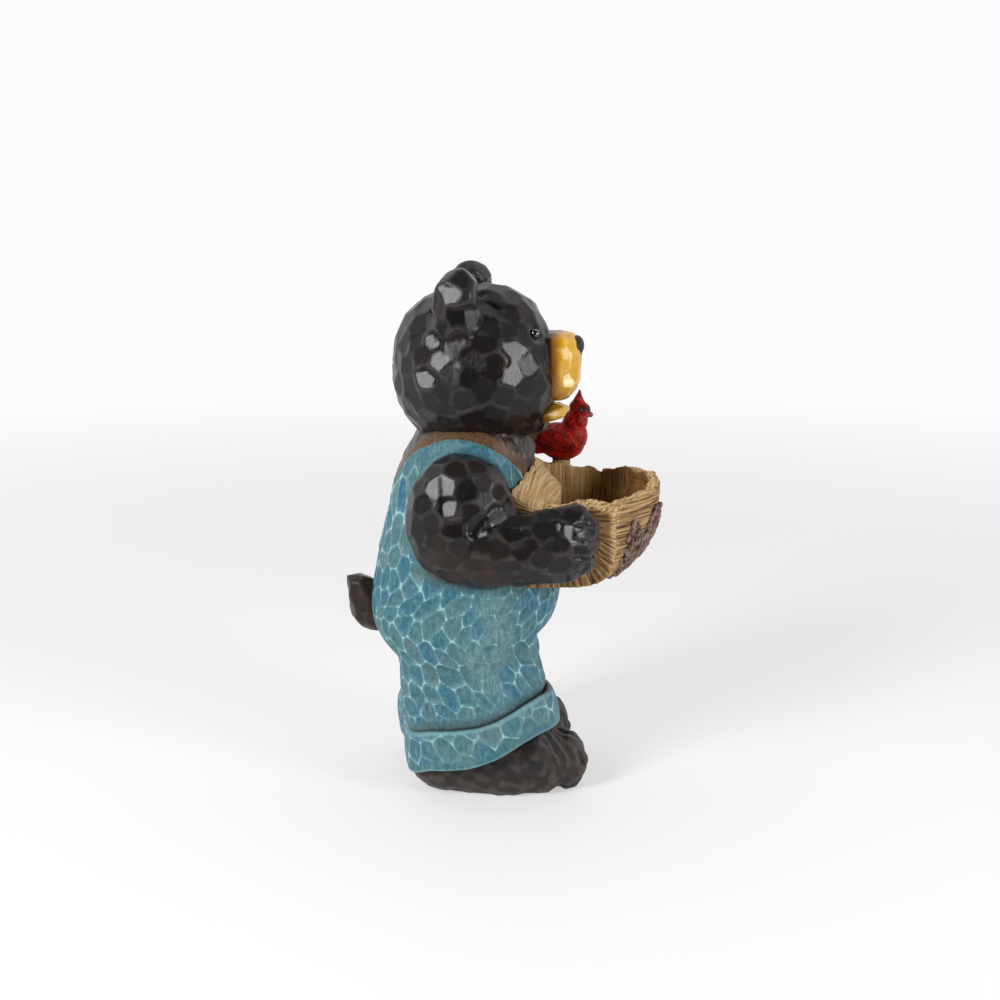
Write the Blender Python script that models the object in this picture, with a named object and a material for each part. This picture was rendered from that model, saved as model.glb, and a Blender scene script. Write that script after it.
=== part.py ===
"""Bear bird bath: a cast bear in overalls carries a hollow log, and a cardinal sits on its rim.

The bear faces -Y and its right side is towards -X. It stands on the ground at Z = 0, metres.
"""
import math
import random

import bmesh
import bpy
import numpy as np
from mathutils import Euler, Matrix, Vector, kdtree

# The bear. Its free form is drawn on a grid of 500 units from the ground to its ear tips.
BEAR_HEIGHT = 0.500
GRID = 500
HEAD_YAW = math.radians(-7)
LEFT_FOOT_BACK = 8
CLOTH_THICKNESS = 2.0
CUFF_FLARE = 7.5

# The log bowl, in metres
LOG_LENGTH = 0.146
LOG_HEIGHT = 0.080
LOG_END_DEPTH = 0.098
LOG_FRONT_BULGE = 0.0525
LOG_BACK_CURVE = 0.029
LOG_WALL = 0.011
LOG_BACK_WALL = 0.018
LOG_FLOOR = 0.014
LOG_HEEL_ROUND = 0.016
BARK_THICKNESS = 0.003
RIM_RIPPLE = 0.0012
STUB_RADIUS = 0.010
STUB_HEIGHT = 0.0105

# Shapes of the log: how much of its height the belly's rounding takes at the ends and in the
# middle, and where the stub stands on the left rim, from 0 at the back to 1 at the front
LOG_END_ROUNDING = 0.44
LOG_MIDDLE_ROUNDING = 1.04
STUB_FORWARD = 0.615

# Where the bear holds the log, on the bear's grid: the back edge of its ends, and its underside
LOG_BACK_AT = -4
LOG_BOTTOM_AT = 208.5

# The bird, in metres
BIRD_HEIGHT = 0.0695
BIRD_GRID = 69.5

# Gap between pieces that touch, and the fineness of the solids
CLEARANCE = 0.0003
BEAR_CELL = 0.0026
BIRD_CELL = 0.0014
BEAR_FACES = 6900
LOG_SLICES = 17
LOG_STEPS = 3
BIRD_FACES = 900

UNIT = BEAR_HEIGHT / GRID
BIRD_UNIT = BIRD_HEIGHT / BIRD_GRID


def clear_scene():
    for item in list(bpy.data.objects):
        bpy.data.objects.remove(item, do_unlink=True)


def paint(name, colour, roughness):
    material = bpy.data.materials.new(name)
    material.use_nodes = True
    shader = material.node_tree.nodes["Principled BSDF"]
    shader.inputs["Base Color"].default_value = (*colour, 1.0)
    shader.inputs["Roughness"].default_value = roughness
    shader.inputs["Metallic"].default_value = 0.0
    return material


def smooth_rows(rows, count):
    """Rows read from a smooth curve through the given rows, evenly spaced by row number."""
    rows = np.asarray(rows, float)
    padded = np.vstack([2 * rows[0] - rows[1], rows, 2 * rows[-1] - rows[-2]])
    result = []
    for place in np.linspace(0, len(rows) - 1, count):
        i = min(int(place), len(rows) - 2)
        t = place - i
        a, b, c, d = padded[i:i + 4]
        result.append(
            b + 0.5 * t * (c - a + t * (2 * a - 5 * b + 4 * c - d + t * (3 * (b - c) + d - a)))
        )
    return np.array(result)


def smooth_step(value):
    value = np.clip(value, 0, 1)
    return value * value * (3 - 2 * value)


def super_ring(centre, half_x, half_y, power, count=48):
    """A level ring between an ellipse (power 2) and a rounded rectangle (higher powers)."""
    angle = np.linspace(0, 2 * math.pi, count, endpoint=False)
    x = np.sign(np.cos(angle)) * np.abs(np.cos(angle)) ** (2 / power) * half_x
    y = np.sign(np.sin(angle)) * np.abs(np.sin(angle)) ** (2 / power) * half_y
    return np.column_stack([x, y, np.zeros(count)]) + np.asarray(centre, float)


class Clay:
    """Overlapping closed lumps, each of one region, that are fused into one skin."""

    def __init__(self, unit):
        self.unit = unit
        self.lumps = []

    def ball(self, region, centre, radii, turn=(0, 0, 0)):
        lump = bmesh.new()
        matrix = Matrix.LocRotScale(Vector(centre), Euler(turn), Vector(radii))
        bmesh.ops.create_icosphere(lump, subdivisions=4, radius=1, matrix=matrix)
        self.lumps.append((region, lump))
        return lump

    def loft(self, region, rings):
        """A closed lump through rings of equal point counts, closed by a face at each end."""
        lump = bmesh.new()
        levels = [[lump.verts.new(point) for point in ring] for ring in rings]
        for lower, upper in zip(levels, levels[1:]):
            for i in range(len(lower)):
                k = (i + 1) % len(lower)
                lump.faces.new((lower[i], lower[k], upper[k], upper[i]))
        lump.faces.new(levels[0][::-1])
        lump.faces.new(levels[-1])
        bmesh.ops.recalc_face_normals(lump, faces=lump.faces)
        self.lumps.append((region, lump))
        return lump

    def limb(self, region, path, steps=24, count=28):
        """A tube along path rows of x, y, z, half width across, half height, with domed ends."""
        rows = smooth_rows(path, steps)
        heading = np.gradient(rows[:, :3], axis=0)
        heading /= np.linalg.norm(heading, axis=1)[:, None]
        across = np.cross(heading, (0, 0, 1))
        across /= np.linalg.norm(across, axis=1)[:, None]
        lift = np.cross(across, heading)
        angle = np.linspace(0, 2 * math.pi, count, endpoint=False)
        dome = np.linspace(0.06, math.pi / 2, 6, endpoint=False)
        rings = []
        for end, order in ((0, dome), (-1, dome[::-1])):
            for turn in order:
                back = -math.cos(turn) if end == 0 else math.cos(turn)
                reach = (rows[end, 3] + rows[end, 4]) / 2 * back
                middle = rows[end, :3] + heading[end] * reach
                size = math.sin(turn)
                rings.append((end, middle, size))
        first = [ring for ring in rings if ring[0] == 0]
        last = [ring for ring in rings if ring[0] == -1]
        body = [(i, rows[i, :3], 1.0) for i in range(len(rows))]
        self.loft(region, [
            middle
            + np.outer(np.cos(angle), across[i]) * rows[i, 3] * size
            + np.outer(np.sin(angle), lift[i]) * rows[i, 4] * size
            for i, middle, size in first + body + last
        ])

    def turn_last(self, count, centre, angle):
        """Turns the newest lumps about a vertical line through centre."""
        matrix = Matrix.Rotation(angle, 3, "Z")
        for _, lump in self.lumps[-count:]:
            bmesh.ops.rotate(lump, verts=lump.verts, cent=centre, matrix=matrix)

    def fused(self, name, cell, rounds):
        """One object from all the lumps, and a tree that finds the region nearest a point."""
        whole = bmesh.new()
        tree = kdtree.KDTree(sum(len(lump.verts) for _, lump in self.lumps))
        regions = []
        for region, lump in self.lumps:
            for vert in lump.verts:
                tree.insert(vert.co * self.unit, len(regions))
                regions.append(region)
            part = bpy.data.meshes.new("lump")
            lump.to_mesh(part)
            whole.from_mesh(part)
            bpy.data.meshes.remove(part)
        tree.balance()
        bmesh.ops.scale(whole, verts=whole.verts, vec=(self.unit,) * 3)
        mesh = bpy.data.meshes.new(name)
        whole.to_mesh(mesh)
        whole.free()
        item = bpy.data.objects.new(name, mesh)
        bpy.context.collection.objects.link(item)
        remesh = item.modifiers.new("Skin", "REMESH")
        remesh.mode = "VOXEL"
        remesh.voxel_size = cell
        blur = item.modifiers.new("Soften", "SMOOTH")
        blur.factor = 0.5
        blur.iterations = rounds
        settle(item)
        return item, (tree, regions)


def settle(item):
    """Replaces an object's mesh by the one that its modifiers make."""
    shape = bpy.data.meshes.new_from_object(
        item.evaluated_get(bpy.context.evaluated_depsgraph_get())
    )
    old = item.data
    item.modifiers.clear()
    item.data = shape
    shape.name = item.name
    bpy.data.meshes.remove(old)


def read_points(mesh):
    points = np.empty(len(mesh.vertices) * 3)
    normals = np.empty(len(mesh.vertices) * 3)
    mesh.vertices.foreach_get("co", points)
    mesh.vertex_normals.foreach_get("vector", normals)
    return points.reshape(-1, 3), normals.reshape(-1, 3)


def write_points(mesh, points):
    mesh.vertices.foreach_set("co", np.asarray(points, np.float32).ravel())
    mesh.update()


def blend_hips(item, finder):
    """Melts the seam between the body and the trouser legs into one smooth side."""
    shape = bmesh.new()
    shape.from_mesh(item.data)
    points = np.array([vert.co for vert in shape.verts])
    near = (np.abs(points[:, 2] / UNIT - 138) < 24) & (np.abs(points[:, 0] / UNIT) > 40)
    near &= np.isin(nearest_regions(points, finder), ("torso", "leg"))
    soft = [vert for vert, pick in zip(shape.verts, near) if pick]
    for _ in range(40):
        bmesh.ops.smooth_vert(shape, verts=soft, factor=0.5, use_axis_x=True, use_axis_y=True, use_axis_z=True)
    shape.to_mesh(item.data)
    shape.free()


def nearest_regions(points, finder):
    tree, regions = finder
    return np.array([regions[tree.find(point)[1]] for point in points])


def scattered(points, spacing, seed):
    """Indices of points picked in a random order, none closer than spacing to another."""
    order = list(range(len(points)))
    random.Random(seed).shuffle(order)
    cells = {}
    chosen = []
    for index in order:
        point = points[index]
        home = tuple(int(v) for v in np.floor(point / spacing))
        near = (
            other
            for dx in (-1, 0, 1) for dy in (-1, 0, 1) for dz in (-1, 0, 1)
            for other in cells.get((home[0] + dx, home[1] + dy, home[2] + dz), ())
        )
        if all(np.sum((point - other) ** 2) > spacing ** 2 for other in near):
            cells.setdefault(home, []).append(point)
            chosen.append(index)
    return chosen


def knife_cuts(points, normals, spacing, depth, tilt, seed):
    """Heights that cut a rounded skin into flat facets, as a broad knife leaves them."""
    chosen = scattered(points, spacing, seed)
    draw = random.Random(seed + 1)
    centres = points[chosen]
    facing = normals[chosen] + np.array([[draw.uniform(-tilt, tilt) for _ in range(3)] for _ in chosen])
    facing /= np.linalg.norm(facing, axis=1)[:, None]
    tree = kdtree.KDTree(len(centres))
    for i, centre in enumerate(centres):
        tree.insert(centre, i)
    tree.balance()
    heights = np.zeros(len(points))
    for i, (point, normal) in enumerate(zip(points, normals)):
        lowest = depth
        for _, j, _ in tree.find_n(point, 3):
            slope = float(normal @ facing[j])
            if slope > 0.4:
                lowest = min(lowest, float((centres[j] - point) @ facing[j]) / slope)
        heights[i] = max(lowest, -depth)
    return heights - depth / 2


def scoops(points, spacing, depth, seed):
    """Heights of shallow gouge cuts side by side, with a ridge left between neighbours."""
    chosen = scattered(points, spacing, seed)
    tree = kdtree.KDTree(len(chosen))
    for i, index in enumerate(chosen):
        tree.insert(points[index], i)
    tree.balance()
    heights = np.zeros(len(points))
    for i, point in enumerate(points):
        first, second = (hit[2] for hit in tree.find_n(point, 2))
        share = 2 * first / (first + second)
        heights[i] = -depth * (1 - share * share)
    return heights


def mirrored(side, place):
    """A grid point of the right half, for side -1 (right) or 1 (left)."""
    return (-side * place[0], *place[1:])


def torso(clay):
    """Level rings: z, back y, front y, half width."""
    rows = smooth_rows([
        (112, 84, -16, 60),
        (126, 99, -28, 80),
        (142, 114, -37, 88),
        (158, 122, -45, 90),
        (176, 126, -54, 90),
        (200, 123, -56, 88),
        (225, 118, -52, 86),
        (249, 112.5, -46, 83),
        (272, 105.5, -39, 80),
        (292, 102, -34, 77),
        (310, 96, -32, 73),
        (327, 88, -30, 66),
        (341, 79, -26, 56),
        (350, 66, -14, 42),
    ], 48)
    clay.loft("torso", [
        super_ring((0, (back + front) / 2, z), half, (back - front) / 2, 2.25)
        for z, back, front, half in rows
    ])


def leg(clay, side):
    """A trouser leg and its turned-up cuff, whose edges rise towards the front."""
    rows = smooth_rows([
        (14, 82, -44, 36),
        (40, 88, -46, 40),
        (70, 90, -44, 41),
        (98, 92, -42, 42.5),
        (118, 96, -43, 44),
        (134, 102, -41, 43),
        (150, 108, -36, 34),
    ], 20)
    set_back = LEFT_FOOT_BACK if side > 0 else 0

    def outline(z, back, front, half, grow):
        centre = (side * 45, (back + front) / 2 + set_back, z)
        return super_ring(centre, half + grow, (back - front) / 2 + grow, 2.3)

    clay.loft("leg", [outline(*row, 0) for row in rows])
    rings = []
    for share in np.linspace(0, 1, 9):
        base = 34 + 38 * share
        swell = CUFF_FLARE * (0.8 + 0.3 * math.sin(math.pi * share))
        ring = outline(0, 86 + 3 * share, -46 + 4 * share, 41 + share, swell)
        forward = (set_back + 90 - ring[:, 1]) / 140
        ring[:, 2] = base - 20 + 34 * forward + 7 * np.sin(math.pi * forward)
        rings.append(ring)
    clay.loft("cuff", rings)


def crotch(clay):
    """Joins the trouser legs on the inside, behind a shallow fold in front and behind."""
    rows = smooth_rows([(50, 66, -18, 15), (80, 80, -26, 16), (110, 86, -28, 18), (140, 90, -28, 20)], 12)
    clay.loft("leg", [
        super_ring((0, (back + front) / 2, z), half, (back - front) / 2, 3)
        for z, back, front, half in rows
    ])


def foot(clay, side):
    """A broad bear's foot, turned outwards, with four toes."""
    set_back = LEFT_FOOT_BACK if side > 0 else 0
    lumps = [
        ((-30, 52, 12), (33, 35, 36)),
        ((-34, 16, 15), (30, 44, 40)),
        ((-42, -22, 12), (33, 36, 40)),
        ((-50, -42, 8), (29, 27, 34)),
    ]
    toes = [
        ((-25, -65, 10), (9.5, 14, 17)),
        ((-42, -69, 12), (11, 15, 19)),
        ((-58, -62, 11), (10, 14, 17)),
        ((-69, -48, 9), (9.5, 13, 15)),
    ]
    for centre, radii in lumps + toes:
        x, y, z = mirrored(side, centre)
        clay.ball("foot", (x, y + set_back, z), radii)


def arm(clay, side):
    """Shoulder, forearm along the log's end, and a mitt whose fingers lie flat on the wood."""
    hold = LOG_LENGTH / UNIT / 2
    clay.ball("arm", (side * (hold + 4), 38, 276), (37, 50, 60))
    clay.limb("arm", [
        (side * (hold + 8), 44, 262, 33, 40),
        (side * (hold + 15), 22, 250, 30, 37),
        (side * (hold + 20), -8, 254, 27, 33),
        (side * (hold + 21), -38, 258, 25, 32),
    ])
    clay.ball("arm", (side * (hold + 18), -52, 259), (24, 32, 35))
    fingers = [(-66, 283, 9), (-76, 271, 11), (-76, 255, 11), (-73, 239, 11)]
    for y, z, size in fingers:
        clay.ball("arm", (side * (hold + 13), y, z), (15, size + 1, size), (0.2, 0, 0))


def head(clay):
    """Ball of the head with cheeks, muzzle, open lower jaw, nose, ears and eyes."""
    start = len(clay.lumps)
    clay.ball("head", (0, 22, 400), (80, 79, 78))
    clay.ball("head", (0, -4, 384), (66, 48, 48))
    clay.ball("head", (0, 9, 424), (58, 62, 59))
    clay.ball("head", (0, 38, 417), (60, 62, 62))
    rows = smooth_rows([
        (375, -59, 18),
        (380, -68, 26),
        (392, -75, 31),
        (408, -76.5, 32),
        (422, -76, 30),
        (431, -74, 27),
        (438, -67, 20),
    ], 14)
    clay.loft("muzzle", [
        super_ring((0, front / 2 - 5, z), half, -front / 2 - 5, 2.6)
        for z, front, half in rows
    ])
    clay.ball("muzzle", (0, -36, 361), (25, 30, 9), (-0.22, 0, 0))
    clay.ball("head", (0, -24, 352), (31, 31, 19))
    clay.ball("nose", (0, -72, 426), (15, 9, 9))
    for side in (-1, 1):
        clay.ball("head", (side * 51, 30, 458), (23, 20, 42), (0, side * 0.1, 0))
        clay.ball("eye", (side * 33, -33, 440), (6, 6, 6))
    clay.turn_last(len(clay.lumps) - start, (0, 22, 400), HEAD_YAW)


def tail(clay):
    clay.limb("tail", [
        (0, 108, 158, 14, 15),
        (0, 126, 164, 15, 15),
        (0, 135, 177, 15, 14),
        (0, 137, 191, 13, 13),
    ], steps=10)


def on_head(place):
    """Where a grid point of the unturned head lies once the head is turned."""
    pivot = Vector((0, 22, 0))
    return pivot + Matrix.Rotation(HEAD_YAW, 3, "Z") @ (Vector(place) - pivot)


def hollow_ears(points, normals):
    """Depths, in grid units, of the cup pressed into the front of each ear."""
    depths = np.zeros(len(points))
    for side in (-1, 1):
        centre = np.array(on_head((side * 53, 14, 473)))
        away = np.linalg.norm((points - centre) / (12, 22, 18), axis=1)
        depths += 8 * np.exp(-(away ** 4)) * np.clip(-normals[:, 1], 0, 1)
    return depths


def overalls_depth(points):
    """Signed distance in grid units from the edge of the overalls, positive on the cloth."""
    x, y, z = np.abs(points[:, 0]), points[:, 1], points[:, 2]
    rear = 45 * np.clip((z - 235) / 95, 0, 1) ** 0.6
    opening = np.where(y > 30, rear, 40)
    lowest = np.where(y > 30, 235, 262)
    return np.maximum(x - opening, lowest - z)


def carve_bear(item, finder):
    """Sinks the fur under the cloth, then cuts facets in fur and gouge marks in cloth."""
    points, normals = read_points(item.data)
    region = nearest_regions(points, finder)
    grid = points / UNIT
    lift = np.zeros(len(points))
    is_torso = region == "torso"
    lift[is_torso] = -CLOTH_THICKNESS * UNIT * smooth_step(-overalls_depth(grid[is_torso]) / 3)
    points += normals * lift[:, None]
    points[:, 1] += hollow_ears(grid, normals) * UNIT
    write_points(item.data, points)
    points, normals = read_points(item.data)
    cloth = is_torso & (overalls_depth(grid) > 0) | (region == "leg") | (region == "cuff")
    heights = np.zeros(len(points))
    for names, spacing, depth, tilt in (
        (("head",), 17, 1.6, 0.10),
        (("arm",), 15, 1.6, 0.10),
        (("tail",), 11, 1.3, 0.12),
        (("foot",), 10, 1.0, 0.12),
        (("muzzle",), 11, 0.7, 0.05),
    ):
        chosen = np.isin(region, names)
        heights[chosen] = knife_cuts(
            points[chosen], normals[chosen], spacing * UNIT, depth * UNIT, tilt, 5
        )
    heights[cloth] = scoops(points[cloth], 20 * UNIT, 1.6 * UNIT, 7)
    write_points(item.data, points + normals * heights[:, None])


def thinned(item, faces):
    """Fewer triangles, kept where the form bends."""
    item.data.calc_loop_triangles()
    thin = item.modifiers.new("Thin", "DECIMATE")
    thin.ratio = min(1.0, faces / len(item.data.loop_triangles))
    thin.use_collapse_triangulate = True
    settle(item)


def cut_flat(item, level):
    """Cuts away what is below a level and closes the cut with flat faces."""
    shape = bmesh.new()
    shape.from_mesh(item.data)
    bmesh.ops.bisect_plane(
        shape,
        geom=shape.verts[:] + shape.edges[:] + shape.faces[:],
        dist=1e-6,
        plane_co=(0, 0, level),
        plane_no=(0, 0, -1),
        clear_outer=True,
    )
    rim = [edge for edge in shape.edges if edge.is_boundary]
    bmesh.ops.edgeloop_fill(shape, edges=rim)
    bmesh.ops.triangulate(shape, faces=shape.faces[:])
    bmesh.ops.recalc_face_normals(shape, faces=shape.faces)
    shape.to_mesh(item.data)
    shape.free()


def cut_or_join(item, tool, operation):
    change = item.modifiers.new("Work", "BOOLEAN")
    change.operation = operation
    change.object = tool
    change.solver = "EXACT"
    settle(item)
    bpy.data.objects.remove(tool, do_unlink=True)


def object_of(name, lump):
    mesh = bpy.data.meshes.new(name)
    lump.to_mesh(mesh)
    lump.free()
    item = bpy.data.objects.new(name, mesh)
    bpy.context.collection.objects.link(item)
    return item


def between(values, share):
    """Reads a smooth curve through values spread evenly over shares 0 to 1."""
    rows = smooth_rows([(value,) for value in values], 8 * (len(values) - 1) + 1)[:, 0]
    return np.interp(share, np.linspace(0, 1, len(rows)), rows)


def rim_height(across, forward):
    """Height of the torn rim over the log's underside, as a share of LOG_HEIGHT.

    across runs from 0 at the right end to 1 at the left, forward from 0 at the back to 1.
    """
    back = (1.17, 1.26, 1.37, 1.20, 1.11)
    front = (0.96, 1.02, 1.12, 1.10, 0.94)
    right = (back[0], 0.93, 0.88, 0.90, front[0])
    left = (back[-1], 1.06, 1.05, 1.02, front[-1])
    ends = between(right, forward) * (1 - across) + between(left, forward) * across
    sides = between(back, across) * (1 - forward) + between(front, across) * forward
    corners = (
        (back[0] * (1 - forward) + front[0] * forward) * (1 - across)
        + (back[-1] * (1 - forward) + front[-1] * forward) * across
    )
    return ends + sides - corners


def log_profile(x, inset, grow):
    """Back y, front y, bottom z and the roundings of a slice across the log, in metres."""
    belly = 1 - (2 * x / LOG_LENGTH) ** 2
    back = LOG_BACK_AT * UNIT - LOG_BACK_CURVE * belly - inset * LOG_BACK_WALL + grow
    front = LOG_BACK_AT * UNIT - LOG_END_DEPTH - LOG_FRONT_BULGE * belly + inset * LOG_WALL - grow
    bottom = LOG_BOTTOM_AT * UNIT + inset * LOG_FLOOR - grow
    rounding = LOG_END_ROUNDING + (LOG_MIDDLE_ROUNDING - LOG_END_ROUNDING) * belly
    round_z = rounding * LOG_HEIGHT
    round_y = min(round_z * 0.95, (back - front) * 0.7)
    return back, front, bottom, round_y, round_z


def log_slice(x, inset, grow, top, steps):
    """A closed ring of the log at x: down the back, along the bottom, up the front, over the top."""
    back, front, bottom, round_y, round_z = log_profile(x, inset, grow)
    heel = LOG_HEEL_ROUND
    ring = []
    for share in np.linspace(0, 1, steps, endpoint=False):
        ring.append((back, top(x, back, back, front) * (1 - share) + (bottom + heel) * share))
    for turn in np.linspace(0, math.pi / 2, steps, endpoint=False):
        ring.append((back - heel * (1 - math.cos(turn)), bottom + heel * (1 - math.sin(turn))))
    for share in np.linspace(0, 1, steps, endpoint=False):
        ring.append(((back - heel) * (1 - share) + (front + round_y) * share, bottom))
    for turn in np.linspace(0, math.pi / 2, 2 * steps, endpoint=False):
        power = 2 / 2.4
        ring.append((
            front + round_y * (1 - math.sin(turn) ** power),
            bottom + round_z * (1 - math.cos(turn) ** power),
        ))
    for share in np.linspace(0, 1, steps, endpoint=False):
        ring.append((front, (bottom + round_z) * (1 - share) + top(x, front, back, front) * share))
    for share in np.linspace(0, 1, 4 * steps, endpoint=False):
        y = front * (1 - share) + back * share
        ring.append((y, top(x, y, back, front)))
    return [(x, y, z) for y, z in ring]


def loft_object(name, rings):
    clay = Clay(1.0)
    return object_of(name, clay.loft("log", rings))


def log_body(grow):
    """The log without its hollow, larger all round by grow."""
    def top(x, y, back, front):
        across = min(max(x / LOG_LENGTH + 0.5, 0), 1)
        forward = min(max((back - y) / (back - front), 0), 1)
        base = LOG_BOTTOM_AT * UNIT + LOG_HEIGHT * float(rim_height(across, forward))
        ripple = RIM_RIPPLE * (math.sin(9 * forward + 31 * across) + math.sin(47 * across + 17 * forward))
        return base + grow + ripple

    half = LOG_LENGTH / 2 + grow
    return [log_slice(x, 0, grow, top, LOG_STEPS) for x in np.linspace(-half, half, LOG_SLICES)]


def log_hollow():
    """The space inside the bowl, open upwards, with rounded ends."""
    half = LOG_LENGTH / 2 - LOG_WALL
    above = LOG_BOTTOM_AT * UNIT + LOG_HEIGHT * 1.9
    rings = []
    for place in np.sin(np.linspace(-math.pi / 2, math.pi / 2, LOG_SLICES)) * 0.99:
        fill = (1 - abs(place) ** 5) ** 0.2
        ring = np.array(log_slice(place * half, 1, 0, lambda *_: above, LOG_STEPS))
        middle = (ring[:, 1].max() + ring[:, 1].min()) / 2
        ring[:, 1] = middle + (ring[:, 1] - middle) * fill
        ring[:, 2] = above - (above - ring[:, 2]) * (0.85 + 0.15 * fill)
        rings.append(ring)
    return loft_object("hollow", rings)


def build_log():
    """The hollow log with its bark remnant, torn rim and stub of branch."""
    item = loft_object("log_bowl", log_body(0))
    cut_or_join(item, log_hollow(), "DIFFERENCE")
    add_bark(item)
    add_stub(item)
    return item


def front_at(x, z):
    """A point of the log's front skin at height z, and the way that the skin faces there."""
    _, front, bottom, round_y, round_z = log_profile(x, 0, 0)
    drop = min(max((bottom + round_z - z) / round_z, 0), 0.999)
    y = front + round_y * (1 - (1 - drop ** 2.4) ** (1 / 2.4))
    slope = Vector((0, -1, -1.4 * drop ** 3)).normalized()
    return Vector((x, y, z)), slope


def add_bark(item):
    """A remnant of bark on the front: two lobes with a notch between, joined below."""
    upper = (0.32, 0.70, 0.76, 0.52, 0.72, 0.84, 0.80, 0.60, 0.36)
    lower = (0.28, 0.16, 0.03, 0.05, 0.12, 0.20, 0.26, 0.30, 0.32)
    rings = []
    for share in np.linspace(0.01, 0.99, 13):
        x = LOG_LENGTH * (-0.35 + 0.62 * share)
        low = LOG_BOTTOM_AT * UNIT + LOG_HEIGHT * float(between(lower, share))
        high = LOG_BOTTOM_AT * UNIT + LOG_HEIGHT * float(between(upper, share))
        skin = [front_at(x, z) for z in np.linspace(low, high, 5)]
        ring = [point + slope * BARK_THICKNESS for point, slope in skin]
        ring += [point - slope * BARK_THICKNESS for point, slope in skin[::-1]]
        rings.append(ring)
    cut_or_join(item, loft_object("bark", rings), "UNION")


def stub_place():
    """Centre of the stub of branch on the left rim, and the height of its top."""
    x = LOG_LENGTH / 2 - LOG_WALL / 2
    y = LOG_BACK_AT * UNIT - LOG_END_DEPTH * STUB_FORWARD
    top = LOG_BOTTOM_AT * UNIT + LOG_HEIGHT * float(rim_height(1, STUB_FORWARD)) + STUB_HEIGHT
    return x, y, top


def add_stub(item):
    x, y, top = stub_place()
    lump = bmesh.new()
    low = top - STUB_HEIGHT * 2.6
    flatness = 0.45 * LOG_WALL / STUB_RADIUS
    bmesh.ops.create_cone(
        lump,
        cap_ends=True,
        segments=14,
        radius1=STUB_RADIUS * 1.05,
        radius2=STUB_RADIUS * 0.92,
        depth=top - low,
        matrix=Matrix.LocRotScale(Vector((x, y, (top + low) / 2)), None, Vector((flatness, 1, 1))),
    )
    cut_or_join(item, object_of("stub", lump), "UNION")


def build_bear():
    clay = Clay(UNIT)
    torso(clay)
    crotch(clay)
    for side in (-1, 1):
        leg(clay, side)
        foot(clay, side)
        arm(clay, side)
    tail(clay)
    head(clay)
    item, finder = clay.fused("bear_figure", BEAR_CELL, 2)
    blend_hips(item, finder)
    carve_bear(item, finder)
    thinned(item, BEAR_FACES)
    cut_flat(item, 0)
    pocket = loft_object("pocket", log_body(CLEARANCE))
    cut_or_join(item, pocket, "DIFFERENCE")
    return item


def build_bird():
    """The cardinal, on a grid of its own: breast towards -Y, its belly on the stub at z = 0."""
    clay = Clay(BIRD_UNIT)
    clay.ball("body", (0, 3, 20.5), (18, 26, 18.5), (0.5, 0, 0))
    clay.ball("body", (0, -8, 28), (15, 14, 17))
    clay.ball("body", (0, -14.5, 48), (11, 11.5, 11))
    clay.limb("body", [(0, -10, 52, 5, 7), (0, -14, 61, 3, 4.5), (0, -16, 67, 1.0, 1.6)], 8, 16)
    clay.limb("beak", [(0, -24, 47, 3.4, 4), (0, -29, 44, 1.2, 1.6)], 4, 12)
    clay.limb("tail", [(0, 16, 12, 9, 6), (0, 30, 7, 7, 3.4), (0, 43, 3, 6.5, 2.4)], 10, 16)
    for side in (-1, 1):
        clay.ball("wing", (side * 13, 6, 20), (6, 22, 13), (0.38, 0, side * 0.14))
    item, _ = clay.fused("cardinal", BIRD_CELL, 2)
    thinned(item, BIRD_FACES)
    cut_flat(item, 0)
    x, y, top = stub_place()
    for vert in item.data.vertices:
        vert.co += Vector((x, y, top + CLEARANCE))
    return item


def finish(item, material):
    item.data.materials.clear()
    item.data.materials.append(material)
    item.data.shade_smooth()
    item.data.set_sharp_from_angle(angle=math.radians(30))


def centre_on_origin(items):
    """Moves all pieces together so that the origin is the middle of the whole box's underside."""
    corners = np.array([vert.co for item in items for vert in item.data.vertices])
    low, high = corners.min(axis=0), corners.max(axis=0)
    shift = Vector((-(low[0] + high[0]) / 2, -(low[1] + high[1]) / 2, 0))
    for item in items:
        item.data.transform(Matrix.Translation(shift))


clear_scene()
bear = build_bear()
log = build_log()
bird = build_bird()
centre_on_origin([bear, log, bird])
finish(bear, paint("black_brown_fur", (0.022, 0.021, 0.022), 0.4))
finish(log, paint("golden_wood", (0.42, 0.27, 0.12), 0.65))
finish(bird, paint("cardinal_red", (0.35, 0.02, 0.025), 0.5))
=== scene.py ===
"""Looks of a garden statue: a bear in overalls carries a log bowl, and a cardinal stands on its rim.

Forms are laid out in millimetres on the figure's own grid: up from the ground, with the bear facing
-Y and its right side towards -X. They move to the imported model's place when a piece is finished.
"""
import math
import random

import bmesh
import bpy
import numpy as np
from mathutils import Euler, Matrix, Vector, bvhtree, kdtree, noise


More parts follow.
